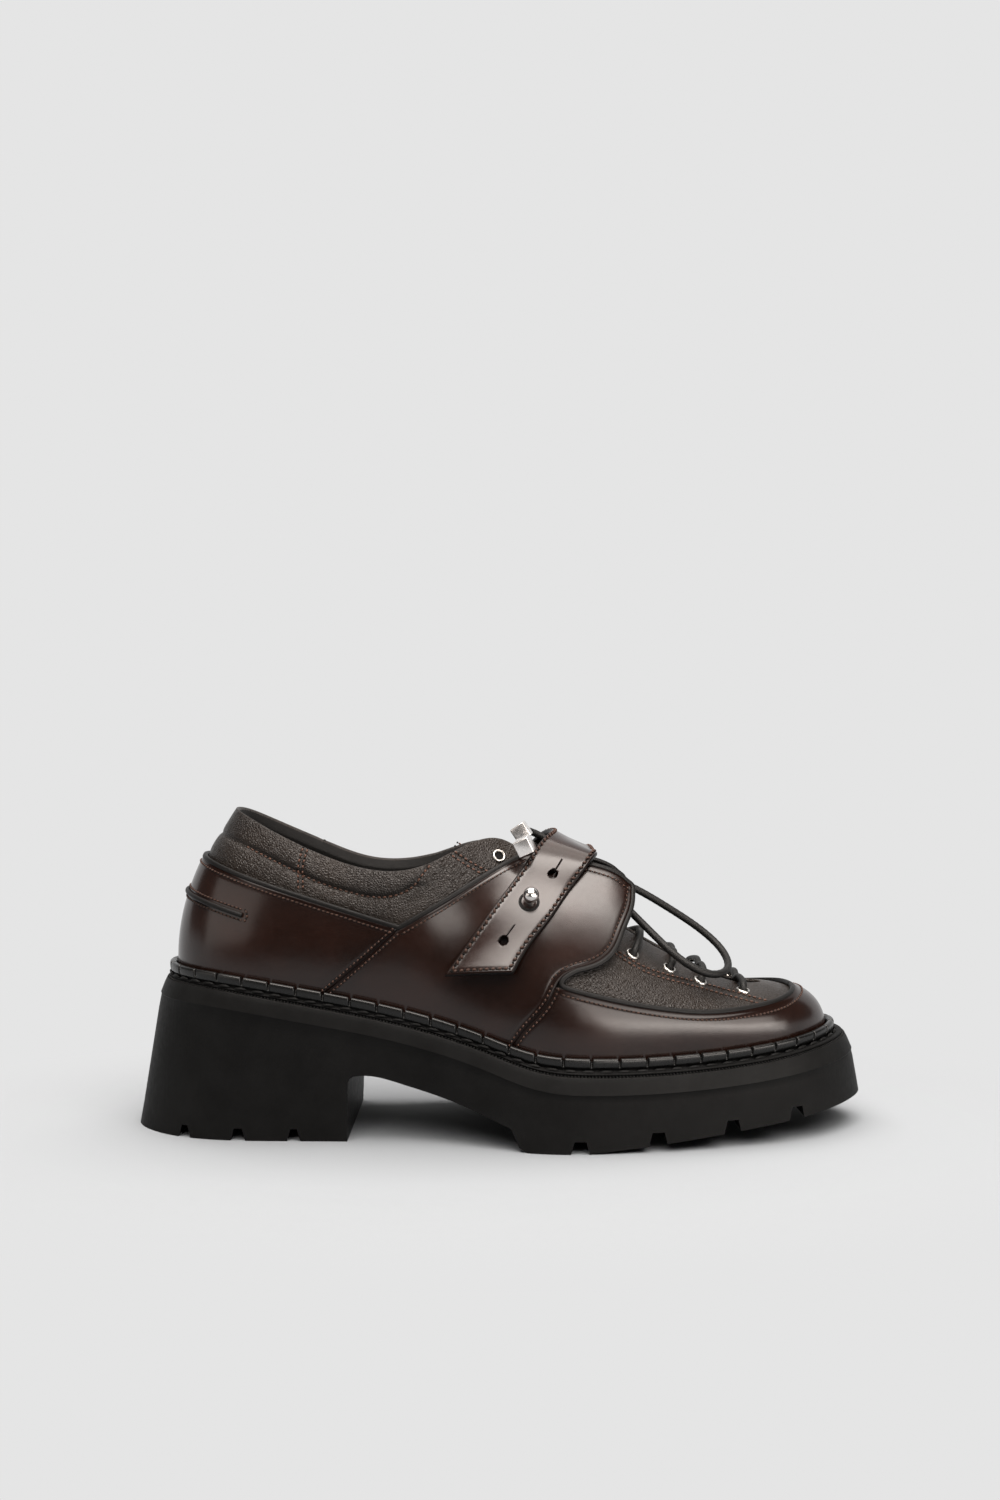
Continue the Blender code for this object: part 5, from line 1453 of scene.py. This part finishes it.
def strap_spot(place):
    """Point on the strap's outer face on the lateral side, the direction outward and the strap's own."""
    inner, normal = strap_grid(161, np.linspace(0, 1, 15))
    away = np.linalg.norm(inner[:len(inner) // 2][..., [0, 2]] - np.array(place), axis=-1)
    i, j = np.unravel_index(np.argmin(away), away.shape)
    return inner[i, j] + normal[i, j] * STRAP_THICKNESS, normal[i, j], unit(inner[i + 1, j] - inner[i - 1, j])


def keyhole_points(place):
    """Round hole with a slit up the strap."""
    centre, up, along = strap_spot(place)
    across = np.cross(up, along)
    start = math.asin(SLIT_HALF / KEYHOLE_RADIUS)
    turns = np.linspace(start, math.tau - start, 28)
    ring = [(KEYHOLE_RADIUS * math.cos(turn), KEYHOLE_RADIUS * math.sin(turn)) for turn in turns]
    ring += [(KEYHOLE_RADIUS + SLIT_LENGTH, half) for half in (-SLIT_HALF, SLIT_HALF)]
    points = [centre + along * a + across * b + up * h for h in (-KEYHOLE_CUT, KEYHOLE_CUT) for a, b in ring]
    return points, prism(len(ring))


def inside(line):
    """Which points of a line across or along the strap lie within its rows of stitching."""
    run = distances(line)
    return (run > STRAP_ROW) & (run < run[-1] - STRAP_ROW)


def make_strap(looks, brown):
    inner, normal = strap_grid(190, np.linspace(0, 1, 44))
    near = np.min(edge_distance(inner), axis=0)
    relief = -groove(near - STRAP_ROW, *STRAP_GROOVE) - groove(near, *STRAP_EDGE_FALL)
    outer = inner + normal * (STRAP_THICKNESS + relief)[..., None]
    strap = overlay("strap", outer, inner, near, STRAP_GLOSS_REACH, looks)
    names = [f"keyhole_{number}" for number in range(len(KEYHOLES))]
    tools = [placed(name, new_mesh(name, *keyhole_points(place))) for name, place in zip(names, KEYHOLES)]
    carve(strap, tools, ["DIFFERENCE"] * len(tools))
    face = STRAP_THICKNESS - STRAP_SINK
    width = np.linalg.norm(inner[:, -1] - inner[:, 0], axis=1).mean()
    for share, turn in ((STRAP_ROW / width, 1), (1 - STRAP_ROW / width, -1)):
        line, up = (rows[:, 1] for rows in strap_grid(400, (share - 0.02, share, share + 0.02)))
        kept = inside(line)
        stitch = STRAP_STITCH._replace(slant=turn * STRAP_STITCH.slant)
        brown.stitch((line + up * face)[kept], up[kept], *stitch)
    run = distances(inner[:, STRAP_MIDDLE])
    for along in (run, run[-1] - run):
        row = np.argmin(np.abs(along - STRAP_ROW))
        line = inner[row] + normal[row] * face
        kept = inside(line)
        brown.stitch(line[kept], normal[row][kept], *STRAP_END_STITCH)


def turned(profile, place, axis, steps):
    """Points and faces turned from a profile of (radius, height) rows about an axis."""
    turns = np.arange(steps) * math.tau / steps
    up = unit(np.asarray(axis, float))
    side = unit(np.cross(up, (0.3, 0.9, 0.2)))
    front = np.cross(up, side)
    spokes = np.cos(turns)[:, None] * side + np.sin(turns)[:, None] * front
    profile = np.asarray(profile, float)
    points = place + profile[:, None, :1] * spokes[None] + profile[:, None, 1:] * up
    return points.reshape(-1, 3), quads(len(profile), steps, wrap_columns=True)


def make_stud(look, hole_look):
    place, axis, along = strap_spot(STUD_PLACE)
    # Dark ring, partly the strap's hole and partly a painted shadow of the ball
    ring = turned(STUD_RING, place - along * STUD_RING_BACK, axis, 40)
    piece("stud_hole_and_shadow", *ring, [hole_look], "brown_leather")
    centre = STUD_NECK_TOP + STUD_BALL * STUD_BALL_LIFT
    ball = [
        (max(0.01, STUD_BALL * math.cos(turn)), centre + STUD_BALL * math.sin(turn))
        for turn in np.linspace(STUD_BALL_START, math.pi / 2, 22)
    ]
    piece("ball_stud", *turned([*STUD_FOOT, *ball], place, axis, 40), [look], "metal", ["stud"])


def make_eyelets(look, hole_look):
    rings, holes, names = Rows(), Rows(), []
    turns = np.linspace(-EYELET_TURN, math.pi + EYELET_TURN, 12)
    middle, half = (EYELET_RIM + EYELET_HOLE) / 2, (EYELET_RIM - EYELET_HOLE) / 2
    dark = [(0.01, 0.12), (1.0, 0.12), (middle, 0.14)]
    profile = [
        (middle + half * math.cos(turn), EYELET_LOW + EYELET_HEIGHT * math.sin(turn)) for turn in turns
    ]
    for side, word in zip(SIDES, ("lateral", "medial")):
        ends = [*range(1, len(EYELET_PLACES) + 1), "ear"]
        for end, (u, t) in zip(ends, spots([*EYELET_PLACES, EAR_EYELET], side)):
            stand = float(collar_relief(np.array([u]), np.array([t]))[0])
            place, axis = surface(u, t, stand), surface_normal(u, t)
            rings.add(*turned(profile, place, axis, 32))
            holes.add(*turned(dark, place, axis, 24))
            names.append(f"eyelet_{word}_{end}")
    rings.build("eyelet_rings", look, "metal", names)
    holes.build("eyelet_holes", hole_look, "black_leather")


def make_lace(look):
    """Lace up through each eyelet, over the throat's edge and down the other side."""
    rows, names = Rows(), []
    for number, place in enumerate(EYELET_PLACES):
        halves = []
        for side in SIDES:
            u, t = spots([place], side)[0]
            left = 1 - t
            step = left / np.linalg.norm(rib_point(u, 1.0, False) - rib_point(u, t, False))
            # Along the rib, and how far off the upper
            run = np.array([
                (t - 0.5 * step, -2.6), (t, -0.4), (t + 0.6 * step, 1.6), (t + 0.35 * left + 0.6 * step, 2.7),
                (1 - 0.15 * left, 2.5), (1.0, 2.2),
            ])
            ahead = u - side * LACE_LEAN * np.clip((run[:, 0] - t) / left, 0, 1)
            halves.append(surface(ahead, run[:, 0], run[:, 1]))
        middle = (halves[0][-1] + halves[1][-1]) / 2 - np.array([0.0, 0.0, LACE_DIP])
        route = through(np.vstack([halves[0], middle, halves[1][::-1]]), 170)
        for _ in range(LACE_ROUNDING):
            route[1:-1] = (route[:-2] + 2 * route[1:-1] + route[2:]) / 4
        rows.add(*tube(route, LACE_RADIUS, 20, LACE_LAY))
        names.append(f"lace_bar_{number + 1}")
    rows.build("lace", look, "elastic", names)


def make_cord(look, metal_look):
    """Free elastic loop and its two metal ends."""
    route = through(CORD_ROUTE, 460)
    cord = piece("elastic_cord", *tube(route, CORD_RADIUS, 24, CORD_LAY), [look], "elastic", ["cord_loop"])
    for name, end, beside in (("cord_end_near", 0, 1), ("cord_end_far", -1, -2)):
        tip = route[end]
        away = unit(tip - route[beside])
        work = bmesh.new()
        bmesh.ops.create_cube(work, size=CORD_END_SIZE * MM)
        soft = CORD_END_SOFTNESS * MM
        bmesh.ops.bevel(work, geom=work.edges[:], offset=soft, segments=3, affect="EDGES", profile=0.5)
        mesh = bpy.data.meshes.new(f"{name}_cube")
        work.to_mesh(mesh)
        work.free()
        mesh.shade_smooth()
        mesh.set_sharp_from_angle(angle=SHARP_ANGLE)
        mesh.materials.append(metal_look)
        turn = Vector((1, 0, 0)).rotation_difference(Vector(away)).to_matrix().to_4x4()
        turn = turn @ Matrix.Rotation(CORD_END_ROLL, 4, "X")
        centre = tip + away * (CORD_END_SIZE / 2 + GAP)
        mesh.transform(Matrix.Translation(Vector(metres(centre))) @ turn)
        own(placed(f"{name}_cube", mesh), [name])


def make_threads(brown, pale):
    """Rows of stitching on the overlays and on the black leather."""
    face = PANEL_FACE - THREAD_SINK
    for side in SIDES:
        rear, top, front = (
            inset(through(rows, count), THREAD_ROW)
            for rows, count in ((QUARTER_REAR, 24), (WING_TOP, 24), (WING_FRONT, 30))
        )
        brown.stitch(*on_panel(rear, side, face, True), *PANEL_STITCH)
        line = np.vstack([top[8:-2], (top[-1] + front[0]) / 2, front[2:]])
        brown.stitch(*on_panel(line, side, face, True, 240), *PANEL_STITCH)
        for seam in (BACK_SEAM, FRONT_SEAM):
            for shift in (-SEAM_ROW - SEAM_GAP, SEAM_ROW + SEAM_GAP):
                brown.stitch(*on_panel(inset(through(seam, 20), shift), side, face, True), *PANEL_STITCH)
        for shift in (-PAD_SEAM_ROW, PAD_SEAM_ROW):
            for seam in (PAD_SEAM, EAR_SEAM):
                pale.stitch(*on_relief(inset(through(seam, 12), shift), side), *SEAM_STITCH)
        pale.stitch(*on_relief(PAD_LINE[1:], side), *PAD_STITCH)
        for shift in EYESTAY_ROWS:
            pale.stitch(*on_relief(shifted(EYESTAY, z=shift), side), *EYESTAY_STITCH)
    lateral, medial = (spots([BACK_SEAM[-1]], side)[0, 0] for side in SIDES)
    heel = np.linspace(medial - LAP + SEAM_CLEAR, lateral - SEAM_CLEAR, 700)
    lateral, medial = (spots([FRONT_SEAM[-1]], side)[0, 0] for side in SIDES)
    toe = np.linspace(lateral + SEAM_CLEAR, medial - SEAM_CLEAR, 900)
    for u, t in ((heel, collar_t(heel, THREAD_ROW)), (toe, apron_t(toe, THREAD_ROW))):
        brown.stitch(*laid(np.column_stack([u, t]), face), *PANEL_STITCH)


def towards(azimuth, elevation, distance):
    """Point in the studio, seen from the shoe: azimuth 0 is the camera's side, 90 the toe's."""
    turn, rise = math.radians(azimuth), math.radians(elevation)
    flat = distance * math.cos(rise)
    return Vector((flat * math.sin(turn), -flat * math.cos(turn), distance * math.sin(rise))) + AIM


def make_floor():
    """Pale sweep that takes the shoe's shadow, glows evenly behind it and is painted dark before the camera,
    a painted shade where the studio's light would fall off.
    """
    look, tree, shader, place = new_look("backdrop", Roughness=0.9, Specular_IOR_Level=0.0)
    far = vector(tree, "LENGTH", vector(tree, "MULTIPLY", place, FLOOR_SHAPE)[0])["Value"]
    lit = soft_range(tree, add_node(tree, "ShaderNodeSeparateXYZ", {0: place}).outputs["Y"], *FLOOR_FRONT)
    feed(tree, shader, Base_Color=blend(tree, lit, (FLOOR_DARK,) * 3, (FLOOR_ALBEDO,) * 3))
    inputs = {0: soft_range(tree, far, *FLOOR_BLEND), 1: lit}
    share = add_node(tree, "ShaderNodeMath", inputs, operation="MULTIPLY").outputs["Value"]
    glow = add_node(tree, "ShaderNodeEmission", {"Color": (FLOOR_GLOW, FLOOR_GLOW, FLOOR_GLOW, 1.0)})
    inputs = {0: share, 1: shader.outputs["BSDF"], 2: glow.outputs["Emission"]}
    mix = add_node(tree, "ShaderNodeMixShader", inputs)
    tree.links.new(mix.outputs["Shader"], tree.nodes["Material Output"].inputs["Surface"])
    line = [(y, 0.0) for y in FLOOR_YS]
    for turn in np.linspace(0, math.pi / 2, 24):
        rise = SWEEP_RADIUS - SWEEP_RADIUS * math.cos(turn)
        line.append((SWEEP_START + SWEEP_RADIUS * math.sin(turn), rise))
    line.append((SWEEP_START + SWEEP_RADIUS, SWEEP_TOP))
    mesh = bpy.data.meshes.new("backdrop")
    mesh.from_pydata([(x, y, z) for x in FLOOR_XS for y, z in line], [], quads(len(FLOOR_XS), len(line)))
    mesh.shade_smooth()
    mesh.materials.append(look)
    floor = placed("backdrop", mesh)


def make_stage():
    """Floor, studio lights and the camera."""
    make_floor()
    scene = bpy.context.scene
    world = bpy.data.worlds.new("studio")
    world.use_nodes = True
    background = world.node_tree.nodes["Background"]
    background.inputs["Color"].default_value = (WORLD_GREY, WORLD_GREY, WORLD_GREY, 1.0)
    scene.world = world
    for row in LAMPS:
        lamp = bpy.data.lights.new(row.name, "AREA")
        lamp.shape = "RECTANGLE"
        lamp.size, lamp.size_y = row.wide, row.high
        lamp.energy = row.radiance * math.pi * row.wide * row.high
        if row.sheen:
            lamp.color = SHEEN_TINT
        item = placed(row.name, lamp)
        item.visible_diffuse, item.visible_glossy = not row.sheen, row.sheen
        item.location = towards(row.azimuth, row.elevation, row.distance)
        item.rotation_euler = (AIM - item.location).to_track_quat("-Z", "Y").to_euler()
    lens = bpy.data.cameras.new("camera")
    lens.sensor_width = SENSOR
    lens.lens = SENSOR * FOCAL_SHARE
    scene.camera = placed("camera", lens)
    scene.camera.location = metres(CAMERA_PLACE)
    scene.camera.rotation_euler = (math.pi / 2, 0.0, 0.0)
    scene.view_settings.view_transform = "Standard"


make_stage()
looks = make_looks()
make_cord(looks["cord"], looks["nickel"])
make_outsole(looks["sole"])
make_welt(looks["welt"], looks["recess"])
make_ledge(looks["sole"])
make_insole(looks["lining"])
make_upper(looks["black"], looks["lining"])
make_tongue(looks["black"])
make_panels(looks)
make_bands(looks["edge"])
stitch_shade_rows = Rows()
brown_rows = Rows(stitch_shade_rows)
make_heel_loop(looks["edge"], brown_rows)
make_strap(looks, brown_rows)
pale_rows = Rows(stitch_shade_rows)
make_threads(brown_rows, pale_rows)
brown_rows.build("brown_stitches", looks["thread"], "brown_leather")
pale_rows.build("collar_stitches", looks["pale_thread"], "black_leather")
# Dark discs at the stitch holes: painted shade of the holes
stitch_shade_rows.build("stitch_hole_shade", looks["lining"], "brown_leather")
make_stud(looks["chrome"], looks["edge"])
make_eyelets(looks["steel"], looks["lining"])
make_lace(looks["cord"])
